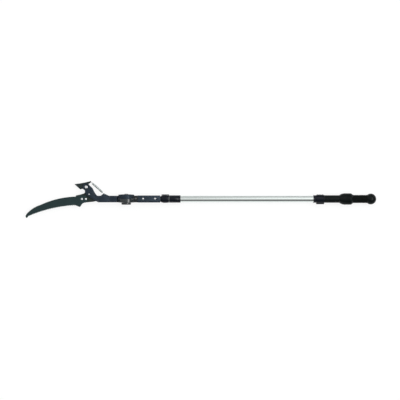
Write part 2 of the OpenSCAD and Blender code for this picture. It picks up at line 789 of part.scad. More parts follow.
module rear_collar() {
  bore = pole_r + fit_gap;
  color([0.06, 0.07, 0.10]) lay() difference() {
    union() {
      about_pole() polygon(concat(
        [[bore, rear_x], [rear_collar_r - 1, rear_x]],
        arc(
          [rear_collar_r, rear_x + 1], [rear_collar_r - 2.2, rear_x + 10], [rear_collar_r, rear_x + 19], 8
        ),
        [
          [rear_collar_r, rear_lever_x[0] - apart],
          [rear_collar_r - rear_in, rear_lever_x[0] - apart],
          [rear_collar_r - rear_in, rear_lever_x[1] + apart],
          [rear_collar_r, rear_lever_x[1] + apart], [rear_collar_r, handle_x],
          [handle_r + seat, handle_x], [handle_r + seat, handle_x - 9.1], [bore, handle_x - 9.1]
        ]
      ));
      for (x = [rear_lever_x[0] - apart - 4, rear_lever_x[1] + apart])
        intersection() {
          translate([x, rear_pin_at.x - knuckle_r, -9])
            cube([4, knuckle_r - rear_pin_at.x - pole_r + 3, 13]);
          tube_x(x, x + 4, -rear_pin_at.x + knuckle_r, handle_r + seat);
        }
    }
    translate([0, rear_pin_at.x, rear_pin_at.y]) rod_x(rear_x, handle_x + 9, lever_pin_r);
  }
}

module rear_lever_pin() {
  color([0.70, 0.72, 0.74]) lay() translate([0, rear_pin_at.x, rear_pin_at.y])
    rod_x(rear_lever_x[0] - apart - 3.6, rear_lever_x[1] + apart + 3.6, lever_pin_r - 0.02);
}

module rear_lever() {
  lever_ir = rear_collar_r - rear_in + apart;
  color([0.06, 0.07, 0.10]) lay() difference() {
    union() {
      ring_sector(rear_lever_x[0], rear_lever_x[1], lever_ir, lever_ir + lever_t, 8, 172);
      for (x = [rear_lever_x[0] + 1, rear_lever_x[0] + 16, rear_lever_x[1] - 6])
        ring_sector(x, x + 5, lever_ir + 1, lever_ir + lever_t + 1.2, 4, 40);
      translate([0, rear_pin_at.x, rear_pin_at.y]) rod_x(rear_lever_x[0], rear_lever_x[1], knuckle_r);
      translate([rear_lever_x[0], rear_pin_at.x - knuckle_r + 0.4, rear_pin_at.y])
        cube([rear_lever_x[1] - rear_lever_x[0], 5, 8]);
    }
    translate([0, rear_pin_at.x, rear_pin_at.y]) rod_x(0, handle_x + 9, lever_pin_r + 0.03);
    rod_x(0, handle_x + 9, lever_ir);
  }
}

module handle_tube() {
  color([0.05, 0.06, 0.10]) lay() tube_x(handle_x - 9, plug_x + plug_len, handle_r, handle_ir);
}

module end_plug() {
  color([0.10, 0.10, 0.11]) lay() tube_x(plug_x, plug_x + plug_len, handle_ir - seat, 8 + fit_gap);
}

// ---------- pull grip ----------

// Radius at a share of the way from the handle tube to the widest part of the hand stop
function swell(share) = handle_r + share * (stop_r - handle_r);

module stop_body() {
  bore = handle_r + fit_gap;
  about_pole() polygon(concat(
    [[bore, stop_x], [bore + 0.9, stop_x]],
    arc([swell(1 / 3), stop_x + 4], [swell(0.72), stop_x + 14], [stop_r - 0.4, stop_x + 28], 6),
    [[stop_r, stop_x + 36], [stop_r, stop_x + stop_len - 15], [stop_r - 0.8, stop_x + stop_len - 12]],
    [[grip_r + 3, stop_x + stop_len - 3], [grip_r, stop_x + stop_len], [bore, stop_x + stop_len]]
  ));
}

module stop_front() {
  color([0.05, 0.05, 0.06]) lay() intersection() {
    stop_body();
    translate([0, -big, 0]) cube([4 * big, 2 * big, big]);
  }
}

module stop_back() {
  color([0.05, 0.05, 0.06]) lay() intersection() {
    stop_body();
    translate([0, -big, -big]) cube([4 * big, 2 * big, big]);
  }
}

module grip_sleeve() {
  color([0.04, 0.04, 0.04]) lay() difference() {
    rod_x(grip_x, ball_x, grip_r, $fn = 96);
    rod_x(grip_x - 1, ball_x + 1, handle_r + fit_gap);
    translate([ball_x, 0, 0]) sphere(ball_r, $fn = 96);
  }
}

module ball_body() {
  difference() {
    translate([ball_x, 0, 0]) sphere(ball_r, $fn = 96);
    difference() {
      translate([ball_x, 0, 0]) sphere(ball_r - 3, $fn = 96);
      rod_x(ball_x, end_x, 8);
    }
    rod_x(ball_x - ball_r - 1, ball_x + 1, handle_r + fit_gap);
    for (s = [-1, 1]) rod_z([ball_x + 17, s * 12], -big, big, 2);
  }
}

module ball_front() {
  color([0.05, 0.05, 0.06]) lay() intersection() {
    ball_body();
    translate([0, -big, 0]) cube([8 * big, 2 * big, big]);
  }
}

module ball_back() {
  color([0.05, 0.05, 0.06]) lay() intersection() {
    ball_body();
    translate([0, -big, -big]) cube([8 * big, 2 * big, big]);
  }
}

module ball_screws() {
  color([0.30, 0.31, 0.33]) lay() for (s = [-1, 1]) rod_z([ball_x + 17, s * 12], -24.5, 24.5, 1.95);
}

module pull_rod() {
  color([0.60, 0.62, 0.64]) lay() rod_x(piston_x, ball_x, 8);
}

module rod_piston() {
  color([0.75, 0.76, 0.74]) lay() tube_x(piston_x, piston_x + piston_len, handle_ir - fit_gap, 8 + seat);
}

module pole_cable() {
  color([0.80, 0.80, 0.78]) lay() rod_x(neck_x + 8, piston_x, cable_r);
}

head_frame();
head_cover();
jaw_plate();
saw_blade();
saw_bolts();
saw_nuts();
pivot_bolt();
pivot_nut();
pivot_bush();
guide_roller();
roller_pin();
neck_strap();
cover_screws();
spring_anchor();
swivel_spindle();
swivel_cap();
thrust_washer();
pruning_blade();
strap_drum();
spring_post();
lower_hook();
return_spring();
upper_hook();
pulley_block();
arm_strap();
head_cable();
block_sheave();
swivel_knob();
swivel_base();
neck_screw();
pole_socket();
socket_screws();
inner_tube();
inner_bush();
outer_tube();
front_bush();
front_collar();
collar_sleeve();
front_lever_pin();
pole_ring();
front_lever();
rear_collar();
rear_lever_pin();
handle_tube();
end_plug();
rear_lever();
stop_front();
stop_back();
grip_sleeve();
ball_front();
ball_back();
ball_screws();
pull_rod();
rod_piston();
pole_cable();
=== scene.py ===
"""Finishes and fine shapes for a telescoping pole saw, laid out as an add-on and run as a script.

Lengths are in metres. The pole runs along X, the saw is at -X, and the tool lies on z = 0.
"""

import json
import math

import bmesh
import bpy
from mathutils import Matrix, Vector


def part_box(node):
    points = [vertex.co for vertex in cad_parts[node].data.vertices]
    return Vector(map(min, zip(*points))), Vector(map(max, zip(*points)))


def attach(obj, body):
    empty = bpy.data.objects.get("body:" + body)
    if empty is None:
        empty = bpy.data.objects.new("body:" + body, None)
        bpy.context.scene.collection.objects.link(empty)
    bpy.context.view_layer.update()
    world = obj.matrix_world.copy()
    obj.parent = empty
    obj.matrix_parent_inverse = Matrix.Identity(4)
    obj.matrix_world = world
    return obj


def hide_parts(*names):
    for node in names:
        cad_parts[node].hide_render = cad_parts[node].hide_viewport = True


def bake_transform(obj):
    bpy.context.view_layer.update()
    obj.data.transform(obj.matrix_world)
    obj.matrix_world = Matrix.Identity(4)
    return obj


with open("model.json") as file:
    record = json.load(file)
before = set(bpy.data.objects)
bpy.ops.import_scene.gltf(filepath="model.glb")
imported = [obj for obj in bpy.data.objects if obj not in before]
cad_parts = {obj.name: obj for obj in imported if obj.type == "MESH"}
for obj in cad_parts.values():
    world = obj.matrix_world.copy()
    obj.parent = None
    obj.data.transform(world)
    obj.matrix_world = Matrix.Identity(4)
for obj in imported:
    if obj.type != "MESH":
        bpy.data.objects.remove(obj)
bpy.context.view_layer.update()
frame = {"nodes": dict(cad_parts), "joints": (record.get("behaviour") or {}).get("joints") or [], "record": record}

bl_info = {
    "name": "Pole saw pieces",
    "version": (1, 0, 0),
    "blender": (4, 5, 0),
    "location": "3D View > Sidebar > Pole saw",
    "description": "Builds the blades, spring, grip and finishes of a telescoping pole saw",
    "category": "Object",
}

JOINTS = {joint["name"]: joint for joint in frame["joints"]}
SLOTS = {part["node"]: part["material_slot"] for part in frame["record"]["subparts"]}
MM = 0.001


# ---------- places taken from the frame ----------


def middle(node):
    """Centre of a CAD node's box."""
    low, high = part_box(node)
    return (Vector(low) + Vector(high)) / 2


def span(node):
    """Size of a CAD node's box."""
    low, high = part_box(node)
    return Vector(high) - Vector(low)


AXIS = middle("outer_tube")  # a point on the pole's axis
HUB = Vector(JOINTS["head_swivel"]["pos_m"])
PIVOT = Vector(JOINTS["blade_pivot"]["pos_m"])
NECK_FROM_HUB = 0.044  # where the neck boss begins, along X from the hub's axis
NECK_FULL = 0.05


# ---------- shader maths ----------

NOISE_ROUGHNESS = 0.55
MIX_FIRST_COLOUR = 6
MIX_SECOND_COLOUR = 7
MIX_COLOUR_OUT = 2


class Wire:
    """A number in a material's node tree, with the usual arithmetic."""

    def __init__(self, finish, socket):
        self.finish = finish
        self.socket = socket

    def maths(self, operation, first, second=0.0):
        return self.finish.maths(operation, first, second)

    def __add__(self, other):
        return self.maths("ADD", self, other)

    def __radd__(self, other):
        return self.maths("ADD", other, self)

    def __sub__(self, other):
        return self.maths("SUBTRACT", self, other)

    def __rsub__(self, other):
        return self.maths("SUBTRACT", other, self)

    def __mul__(self, other):
        return self.maths("MULTIPLY", self, other)

    def __rmul__(self, other):
        return self.maths("MULTIPLY", other, self)

    def __truediv__(self, other):
        return self.maths("DIVIDE", self, other)

    def clamped(self):
        """The value held between 0 and 1."""
        return self.maths("MINIMUM", self.maths("MAXIMUM", self, 0.0), 1.0)

    def steps(self, low, high):
        """0 below low, 1 above high, and a straight rise between."""
        return ((self - low) / (high - low)).clamped()


class Finish:
    """A node material with one shader, and the nodes that vary it over the surface."""

    def __init__(self, name, **shader_values):
        self.material = bpy.data.materials.new(name)
        self.material.use_nodes = True
        self.tree = self.material.node_tree
        self.shader = self.tree.nodes["Principled BSDF"]
        for socket, value in shader_values.items():
            self.shader.inputs[socket.replace("_", " ")].default_value = value
        self.spot = self.node("ShaderNodeTexCoord").outputs["Object"]

    def node(self, kind, settings=None, values=None):
        """Adds a node: its settings first, then the values or links of its sockets."""
        made = self.tree.nodes.new(kind)
        for key, value in (settings or {}).items():
            if key == "stops":
                ramp = made.color_ramp.elements
                while len(ramp) < len(value):
                    ramp.new(1.0)
                for element, (place, colour) in zip(ramp, value):
                    element.position = place
                    element.color = (*colour, 1.0)
            else:
                setattr(made, key, value)
        for key, value in (values or {}).items():
            self.feed(made.inputs[key], value)
        return made

    def feed(self, socket, value):
        """Links or sets one socket."""
        if isinstance(value, Wire):
            value = value.socket
        if isinstance(value, bpy.types.NodeSocket):
            self.tree.links.new(value, socket)
        else:
            socket.default_value = value

    def stretched(self, scale, turn=(0.0, 0.0, 0.0)):
        """Object coordinates scaled, and turned, for a pattern."""
        values = {"Vector": self.spot, "Scale": scale, "Rotation": turn}
        return self.node("ShaderNodeMapping", {"vector_type": "POINT"}, values).outputs["Vector"]

    def maths(self, operation, first, second=0.0):
        """One step of arithmetic on two wires or numbers."""
        made = self.node("ShaderNodeMath", {"operation": operation}, {0: first, 1: second})
        return Wire(self, made.outputs[0])

    def noise(self, size, detail, place=None):
        """Noise between 0 and 1 whose blotches are about size metres across."""
        values = {
            "Vector": place or self.spot,
            "Scale": 1.0 / size,
            "Detail": detail,
            "Roughness": NOISE_ROUGHNESS,
        }
        return Wire(self, self.node("ShaderNodeTexNoise", None, values).outputs["Fac"])

    def axis(self, name):
        """One of the object coordinates, X, Y or Z."""
        split = self.node("ShaderNodeSeparateXYZ", None, {"Vector": self.spot})
        return Wire(self, split.outputs[name])

    def away(self, point, flatten=(1.0, 1.0, 1.0)):
        """Distance from a point; an axis with a zero in flatten isn't counted."""
        moved = self.vector("SUBTRACT", {0: self.spot, 1: tuple(point)}).outputs["Vector"]
        flat = self.vector("MULTIPLY", {0: moved, 1: flatten}).outputs["Vector"]
        return Wire(self, self.vector("LENGTH", {0: flat}).outputs["Value"])

    def vector(self, operation, values):
        """One step of vector arithmetic."""
        return self.node("ShaderNodeVectorMath", {"operation": operation}, values)

    def mix(self, amount, first, second):
        """A colour between two colours."""
        made = self.node("ShaderNodeMix", {"data_type": "RGBA"})
        self.feed(made.inputs["Factor"], amount)
        self.paint(made.inputs[MIX_FIRST_COLOUR], first)
        self.paint(made.inputs[MIX_SECOND_COLOUR], second)
        return made.outputs[MIX_COLOUR_OUT]

    def paint(self, socket, colour):
        """Links or sets a colour socket."""
        self.feed(socket, (*colour, 1.0) if isinstance(colour, tuple) else colour)

    def colour(self, value):
        """Feeds the base colour."""
        self.paint(self.shader.inputs["Base Color"], value)

    def roughness(self, value):
        """Feeds the roughness."""
        self.feed(self.shader.inputs["Roughness"], value)

    def bump(self, height, depth):
        """Raises the surface by height times depth metres."""
        made = self.node("ShaderNodeBump", None, {"Height": height, "Distance": depth, "Strength": 1.0})
        self.feed(self.shader.inputs["Normal"], made.outputs["Normal"])


# ---------- finishes ----------


def tone(colour, gain, lift=0.0):
    """A colour made lighter or darker by gain, and lifted off black."""
    return tuple(min(1.0, c * gain + lift) for c in colour)


def coated_blade(name, coat, bare, ground=None):
    """Blade steel with a dark low-friction coating, scuffed, and bright where it is ground."""
    finish = Finish(name, Specular_IOR_Level=0.2)
    cloud = finish.noise(size=0.06, detail=3.0)
    brushed = finish.stretched(scale=(0.12, 1.0, 1.0), turn=(0.0, 0.0, 0.35))
    scuffs = finish.noise(size=0.003, detail=6.0, place=brushed)
    coating = finish.mix((cloud * 0.7).clamped(), tone(coat, 0.75), tone(coat, 1.25))
    worn = scuffs.steps(0.7, 0.85) * 0.2
    coating = finish.mix(worn, coating, bare)
    metal = worn
    if ground is not None:
        coating = finish.mix(ground(finish), coating, bare)
        metal = (worn + ground(finish)).clamped()
    finish.colour(coating)
    finish.feed(finish.shader.inputs["Metallic"], metal * 0.9)
    finish.roughness(0.42 - 0.12 * scuffs)
    finish.bump(scuffs, depth=0.00004)
    return finish.material


def cast_part(name, tint, gloss, metal):
    """Painted casting with a fine grain and a slightly metallic sheen."""
    finish = Finish(name, Specular_IOR_Level=0.15, Metallic=metal)
    grain = finish.noise(size=0.0009, detail=3.0)
    cloud = finish.noise(size=0.035, detail=2.0)
    finish.colour(finish.mix((cloud * 0.8).clamped(), tint, tone(tint, 1.3, 0.002)))
    finish.roughness(gloss + 0.12 * grain)
    finish.bump(grain, depth=0.00009)
    return finish.material


def moulded_part(name, tint, gloss, shine):
    """Smooth moulded plastic with faint flow marks and handling scratches."""
    finish = Finish(name, Specular_IOR_Level=0.1, Coat_Roughness=0.2)
    flow = finish.noise(size=0.02, detail=2.0)
    rubbed = finish.stretched(scale=(1.0, 0.08, 0.3), turn=(0.2, 0.1, 0.5))
    scratches = finish.noise(size=0.0014, detail=5.0, place=rubbed)
    finish.colour(finish.mix((flow * 0.6).clamped(), tint, tone(tint, 1.5, 0.001)))
    finish.roughness(gloss + 0.14 * scratches)
    finish.feed(finish.shader.inputs["Coat Weight"], shine * (0.6 + 0.8 * flow))
    finish.bump(scratches, depth=0.00003)
    return finish.material


def ribbed_rubber(name, tint):
    """Soft black rubber with a fine pebbled skin and a dull bloom."""
    finish = Finish(name, Specular_IOR_Level=0.1)
    values = {"Vector": finish.spot, "Scale": 900.0}
    pebble = finish.node("ShaderNodeTexVoronoi", {"feature": "F1"}, values)
    cells = Wire(finish, pebble.outputs["Distance"])
    bloom = finish.noise(size=0.018, detail=3.0)
    finish.colour(finish.mix(bloom.steps(0.35, 0.8), tint, tone(tint, 1.6, 0.001)))
    finish.roughness(0.62 + 0.2 * bloom)
    finish.bump(cells, depth=0.00025)
    return finish.material


def plated_steel(name, tint, rough):
    """Plated steel with turning marks and a slightly uneven shine."""
    finish = Finish(name, Metallic=1.0)
    marks = finish.noise(size=0.0007, detail=4.0, place=finish.stretched(scale=(1.0, 1.0, 0.2)))
    dull = finish.noise(size=0.006, detail=3.0)
    finish.colour(finish.mix((dull * 0.8).clamped(), tint, tone(tint, 0.8)))
    finish.roughness(rough + 0.14 * dull)
    finish.bump(marks, depth=0.00003)
    return finish.material


def drawn_tube(name, tint, rough, metal=1.0):
    """Drawn tube: fine lines along its length, a soft mottle and light rubbing from the locks."""
    finish = Finish(name, Metallic=metal)
    lines = finish.noise(size=0.0008, detail=5.0, place=finish.stretched(scale=(0.004, 1.0, 1.0)))
    mottle = finish.noise(size=0.05, detail=3.0, place=finish.stretched(scale=(0.35, 1.0, 1.0)))
    streaks = finish.noise(size=0.002, detail=4.0, place=finish.stretched(scale=(0.03, 1.0, 1.0)))
    rubbed = streaks.steps(0.6, 0.75)
    metal_shade = finish.mix((mottle * 0.6).clamped(), tint, tone(tint, 0.9))
    finish.colour(finish.mix(rubbed * 0.25, metal_shade, tone(tint, 1.1, 0.02)))
    finish.roughness(rough + 0.1 * lines + 0.06 * mottle)
    finish.bump(lines, depth=0.00002)
    return finish.material


def natural_plastic(name, tint):
    """Unpainted bearing plastic."""
    finish = Finish(name, Subsurface_Weight=0.1)
    cloud = finish.noise(size=0.01, detail=2.0)
    finish.colour(finish.mix(cloud, tint, tone(tint, 0.85)))
    finish.roughness(0.4 + 0.1 * cloud)
    return finish.material


def diagonal_waves(finish, **values):
    """Slanting bands between 0 and 1, for threads and strands."""
    settings = {"wave_type": "BANDS", "bands_direction": "DIAGONAL"}
    made = finish.node("ShaderNodeTexWave", settings, {"Vector": finish.spot, **values})
    return Wire(finish, made.outputs["Fac"])


def woven_strap(name, tint):
    """Woven webbing, with painted shade in the hollows of its weave."""
    finish = Finish(name, Sheen_Weight=0.3)
    thread = diagonal_waves(finish, Scale=320.0, Distortion=0.6)
    # painted shade: the colour is lighter where the thread wave, and so the bump, is high, and darker in the
    # hollows
    finish.colour(finish.mix(thread * 0.6, tint, tone(tint, 2.2)))
    finish.roughness(0.85 - 0.1 * thread)
    finish.bump(thread, depth=0.0003)
    return finish.material


def stranded_cable(name, tint):
    """Steel cable of twisted strands, with painted shade in the grooves between them."""
    finish = Finish(name, Metallic=1.0)
    strand = diagonal_waves(finish, Scale=260.0)
    # painted shade: the colour falls to under half where the strand wave, and so the bump, is low
    finish.colour(finish.mix(strand, tone(tint, 0.45), tint))
    finish.roughness(0.3 + 0.15 * strand)
    finish.bump(strand, depth=0.0003)
    return finish.material


def hub_part(name, tint):
    """Glossy moulding of the hub, with a darker and duller neck boss."""
    finish = Finish(name, Specular_IOR_Level=0.3, Coat_Roughness=0.12)
    grain = finish.noise(size=0.0012, detail=3.0)
    cloud = finish.noise(size=0.03, detail=2.0)
    neck = finish.axis("X").steps(HUB.x + NECK_FROM_HUB, HUB.x + NECK_FULL)
    disc = finish.mix((cloud * 0.7).clamped(), tint, tone(tint, 1.3, 0.004))
    finish.colour(finish.mix(neck, disc, tone(tint, 0.45)))
    finish.roughness(0.3 + 0.1 * grain + 0.2 * neck)
    finish.feed(finish.shader.inputs["Coat Weight"], (0.7 + 0.2 * cloud) * (1.0 - 0.95 * neck))
    finish.bump(grain, depth=0.00003)
    return finish.material


# ---------- modelling helpers ----------

MERGE = 2e-6  # corners nearer than this are one corner
FLAT_ANGLE = 0.6  # degrees within which neighbouring triangles are one face
SHARP_ANGLE = 38.0  # degrees from which an edge is rounded
SMOOTH_ANGLE = 32.0  # degrees up to which shading runs on over an edge
ROUND_SEGMENTS = 2
TURNED_SIDES = 96
ON_PLANE = 1e-4  # corners nearer than this to a height lie on it
HEAD_SIDES = 40
SHANK_SIDES = 24
DOME_SHARE = 0.55  # share of a screw head's height that its dome takes
DOME_SEGMENTS = 5
RECESS_FLOOR = 0.4  # height of the recess's floor, as a share of the head's


def clear():
    """Leaves nothing selected, in object mode."""
    if bpy.context.object and bpy.context.object.mode != "OBJECT":
        bpy.ops.object.mode_set(mode="OBJECT")
    bpy.ops.object.select_all(action="DESELECT")


def hold(piece):
    """Makes a piece the only selected one."""
    clear()
    piece.select_set(True)
    bpy.context.view_layer.objects.active = piece


def settle(piece, name, finish, body, replaced):
    """Names a finished piece, bakes its place into its mesh and ties it to its body."""
    hold(piece)
    bpy.ops.object.transform_apply(location=True, rotation=True, scale=True)
    piece.name = name
    piece.data.name = name
    piece.data.materials.clear()
    piece.data.materials.append(finish)
    if body:
        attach(piece, body)
    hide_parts(*replaced)
    return piece


def apply_modifier(piece, kind, **settings):
    """Adds a modifier, sets it and applies it."""
    hold(piece)
    made = piece.modifiers.new(kind.title(), kind)
    for key, value in settings.items():
        setattr(made, key, value)
    bpy.ops.object.modifier_apply(modifier=made.name)


def smooth(piece, degrees=SMOOTH_ANGLE):
    """Smooth shading with sharp edges kept."""
    hold(piece)
    bpy.ops.object.shade_smooth_by_angle(angle=math.radians(degrees))


def copy_of(node):
    """A merged copy of a CAD node's mesh with its flat faces made whole."""
    clear()
    made = bpy.data.objects.new(node + "_copy", frame["nodes"][node].data.copy())
    bpy.context.scene.collection.objects.link(made)
    hold(made)
    bpy.ops.object.mode_set(mode="EDIT")
    bpy.ops.mesh.select_all(action="SELECT")
    bpy.ops.mesh.remove_doubles(threshold=MERGE)
    bpy.ops.mesh.dissolve_limited(angle_limit=math.radians(FLAT_ANGLE))
    bpy.ops.object.mode_set(mode="OBJECT")
    return made


def softened(node, width, finish, body):
    """A CAD node's shape with its sharp edges rounded off."""
    piece = copy_of(node)
    apply_modifier(
        piece,
        "BEVEL",
        width=width,
        segments=ROUND_SEGMENTS,
        limit_method="ANGLE",
        angle_limit=math.radians(SHARP_ANGLE),
        use_clamp_overlap=True,
        loop_slide=False,
    )
    smooth(piece)
    return settle(piece, node + "_rounded", finish, body, [node])


def turned(start, rings, sides=TURNED_SIDES):
    """A closed shape turned about X: rings are (distance along X from start, radius)."""
    clear()
    first = start + Vector((rings[0][0], 0.0, 0.0))
    bpy.ops.mesh.primitive_circle_add(
        vertices=sides, radius=rings[0][1], location=first, rotation=(0.0, math.pi / 2, 0.0)
    )
    piece = bpy.context.object
    hold(piece)
    bpy.ops.object.transform_apply(location=True, rotation=True, scale=True)
    bpy.ops.object.mode_set(mode="EDIT")
    bpy.ops.mesh.select_all(action="SELECT")
    where, radius = rings[0]
    for next_where, next_radius in rings[1:] + rings[:1]:
        bpy.ops.mesh.extrude_region_move(
            TRANSFORM_OT_translate={"value": (next_where - where, 0.0, 0.0)}
        )
        grow = next_radius / radius
        centre = tuple(start + Vector((next_where, 0.0, 0.0)))
        bpy.ops.transform.resize(value=(1.0, grow, grow), center_override=centre)
        where, radius = next_where, next_radius
    bpy.ops.mesh.select_all(action="SELECT")
    bpy.ops.mesh.remove_doubles(threshold=1e-6)
    bpy.ops.mesh.normals_make_consistent(inside=False)
    bpy.ops.object.mode_set(mode="OBJECT")
    return piece


def groove(piece, centre, reach, depth):
    """Presses in the ring of corners at the centre's height, further out than reach, as a parting line."""
    hold(piece)
    bpy.ops.object.mode_set(mode="EDIT")
    bpy.ops.mesh.select_all(action="DESELECT")
    bpy.ops.object.mode_set(mode="OBJECT")
    for vertex in piece.data.vertices:
        out = math.hypot(vertex.co.x - centre.x, vertex.co.y - centre.y)
        vertex.select = abs(vertex.co.z - centre.z) < ON_PLANE and out > reach
    bpy.ops.object.mode_set(mode="EDIT")
    bpy.ops.transform.shrink_fatten(value=-depth)
    bpy.ops.object.mode_set(mode="OBJECT")


def cut(piece, cutter):
    """Takes the cutter out of the piece and removes the cutter."""
    apply_modifier(piece, "BOOLEAN", object=cutter, operation="DIFFERENCE", solver="EXACT")
    bpy.data.objects.remove(cutter, do_unlink=True)


def joined(pieces):
    """Joins pieces into the first."""
    hold(pieces[0])
    for piece in pieces[1:]:
        piece.select_set(True)
    if len(pieces) > 1:
        bpy.ops.object.join()
    return pieces[0]


def domed_screw(at, radius, height, shank, depth, recess):
    """A domed screw head standing on at along +Z, with its shank below and a hexagonal recess."""
    clear()
    bpy.ops.mesh.primitive_cylinder_add(vertices=HEAD_SIDES, radius=radius, depth=height, location=at)
    head = bpy.context.object
    hold(head)
    bpy.ops.transform.translate(value=(0.0, 0.0, height / 2))
    bpy.ops.object.transform_apply(location=True, rotation=True, scale=True)
    dome = height * DOME_SHARE
    apply_modifier(head, "BEVEL", width=dome, segments=DOME_SEGMENTS, limit_method="ANGLE")
    clear()
    above = at + Vector((0.0, 0.0, height * (RECESS_FLOOR + 1.0)))
    bpy.ops.mesh.primitive_cylinder_add(vertices=6, radius=recess, depth=height * 2, location=above)
    hexagon = bpy.context.object
    cut(head, hexagon)
    clear()
    bpy.ops.mesh.primitive_cylinder_add(
        vertices=SHANK_SIDES, radius=shank, depth=depth, location=at - Vector((0.0, 0.0, depth / 2))
    )
    stem = bpy.context.object
    hold(stem)
    bpy.ops.object.transform_apply(location=True, rotation=True, scale=True)
    whole = joined([head, stem])
    smooth(whole)
    return whole


def loose_boxes(node):
    """The lowest and highest corner of each loose part of a CAD node."""
    mesh = bmesh.new()
    mesh.from_mesh(frame["nodes"][node].data)
    bmesh.ops.remove_doubles(mesh, verts=mesh.verts, dist=MERGE)
    left = set(mesh.verts)
    boxes = []
    while left:
        reached = {left.pop()}
        edge = set(reached)
        while edge:
            edge = {e.other_vert(v) for v in edge for e in v.link_edges} - reached
            reached |= edge
        left -= reached
        corners = [v.co for v in reached]
        boxes.append((
            Vector([min(c[i] for c in corners) for i in range(3)]),
            Vector([max(c[i] for c in corners) for i in range(3)]),
        ))
    mesh.free()
    return sorted(boxes, key=lambda box: tuple(box[0]))


def headed(node, seat, recess, finish, body, shank=0.45):
    """Screws in place of a node's plain ones: a domed head from seat up, and a shank below."""
    made = []
    for low, high in loose_boxes(node):
        radius = (high.x - low.x) / 2
        at = Vector(((low.x + high.x) / 2, (low.y + high.y) / 2, seat))
        made.append(domed_screw(at, radius, high.z - seat, radius * shank, seat - low.z, recess))
    return settle(joined(made), node + "_headed", finish, body, [node])


# ---------- blades ----------

LEVEL = 0.9  # a face whose normal rises at least this much is the plate's top
UPRIGHT = 0.1  # a face whose normal rises less than this is the plate's rim
TIP_ANGLE = math.radians(55.0)  # a tooth tip turns more sharply than this
GULLET_ANGLE = 0.5  # and the corners beside it turn back by more than this
FEWEST_TEETH = 20
BOLT_HOLE_SIDES = 48
SHARPENED = 0.0034  # how far past the tips the ground steel is fully bright
SHARPENED_END = 0.0054
FACE_SHARE = (0.44, 0.52)  # where a pair of teeth changes from its bright to its dull face
TOOTHED_START = (-0.012, -0.004)  # where the ground band begins, as a share of its length
TOOTHED_END = (1.004, 1.012)
DULL_FACE = 0.3
SAW_BARE = (0.62, 0.68, 0.68)
PRUNER_BARE = (0.25, 0.27, 0.27)
CUTTING_BEVEL = 0.0024
ON_TOP = 1e-5
CUTTING_EDGE = 0.02  # the pruning edge is longer than this, and this far out from the pivot


def whole_rim(node):
    """The outer loop of a plate, bolt holes left out, from its corner nearest the hub, anticlockwise."""
    source = copy_of(node)
    mesh = bmesh.new()
    mesh.from_mesh(source.data)
    edges = [
        e for e in mesh.edges
        if len(e.link_faces) == 2
        and max(f.normal.z for f in e.link_faces) > LEVEL
        and min(abs(f.normal.z) for f in e.link_faces) < UPRIGHT
    ]
    loops = []
    left = set(edges)
    while left:
        edge = left.pop()
        loop = [edge.verts[0], edge.verts[1]]
        while True:
            step = next((e for e in loop[-1].link_edges if e in left), None)
            if step is None:
                break
            left.discard(step)
            loop.append(step.other_vert(loop[-1]))
        if loop[0] == loop[-1]:
            loop.pop()
        loops.append([v.co.copy() for v in loop])
    mesh.free()
    bpy.data.objects.remove(source, do_unlink=True)
    rim = max(loops, key=lambda points: max(p.x for p in points) - min(p.x for p in points))
    area = sum(a.x * b.y - a.y * b.x for a, b in zip(rim, rim[1:] + rim[:1]))
    rim = rim if area > 0 else rim[::-1]
    first = max(range(len(rim)), key=lambda i: (rim[i].x, rim[i].y))
    return rim[first:] + rim[:first]


def bolt_places():
    """Centres of the two saw bolts."""
    low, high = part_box("saw_bolts")
    radius = (high[1] - low[1]) / 2
    y = (high[1] + low[1]) / 2
    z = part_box("saw_blade")[1][2]
    return [Vector((low[0] + radius, y, z)), Vector((high[0] - radius, y, z))]


def turn_at(rim, i):
    """How sharply the outline turns at a corner, positive outwards."""
    before = rim[i] - rim[i - 1]
    after = rim[(i + 1) % len(rim)] - rim[i]
    return math.atan2(before.x * after.y - before.y * after.x, before.x * after.x + before.y * after.y)


def tooth_tips(rim):
    """Corners that are tooth tips: sharp, between two gullets."""
    count = len(rim)
    tips = []
    for i in range(count):
        beside = (turn_at(rim, (i - 1) % count), turn_at(rim, (i + 1) % count))
        if turn_at(rim, i) > TIP_ANGLE and max(beside) < -GULLET_ANGLE:
            tips.append(i)
    return tips


def circle_through(a, b, c):
    """Centre and radius of the circle through three points in the XY plane."""
    d = 2 * (a.x * (b.y - c.y) + b.x * (c.y - a.y) + c.x * (a.y - b.y))
    sa, sb, sc = (p.x * p.x + p.y * p.y for p in (a, b, c))
    x = (sa * (b.y - c.y) + sb * (c.y - a.y) + sc * (a.y - b.y)) / d
    y = (sa * (c.x - b.x) + sb * (a.x - c.x) + sc * (b.x - a.x)) / d
    return Vector((x, y, 0.0)), math.hypot(a.x - x, a.y - y)


def saw_finish(rim, tips):
    """The saw's coating, worn bright on the ground teeth."""
    first, last = rim[tips[0]], rim[tips[-1]]
    centre, radius = circle_through(first, rim[tips[len(tips) // 2]], last)
    start = math.atan2(first.y - centre.y, first.x - centre.x)
    end = math.atan2(last.y - centre.y, last.x - centre.x)
    pair = 2.0 * (end - start) / (len(tips) - 1)

    def bright(finish):
        reach = finish.away(centre, (1.0, 1.0, 0.0))
        angle = finish.maths("ARCTAN2", finish.axis("Y") - centre.y, finish.axis("X") - centre.x)
        share = finish.maths("FRACT", (angle - start) / pair + 0.25)
        facing = 1.0 - share.steps(*FACE_SHARE)
        band = 1.0 - reach.steps(radius + SHARPENED, radius + SHARPENED_END)
        along = (angle - start) / (end - start)
        toothed = along.steps(*TOOTHED_START) * (1.0 - along.steps(*TOOTHED_END))
        return band * toothed * (DULL_FACE + (1.0 - DULL_FACE) * facing)

    colours = bpy.context.scene.polesaw_colours
    return coated_blade("saw_coating", tuple(colours.saw), SAW_BARE, bright)


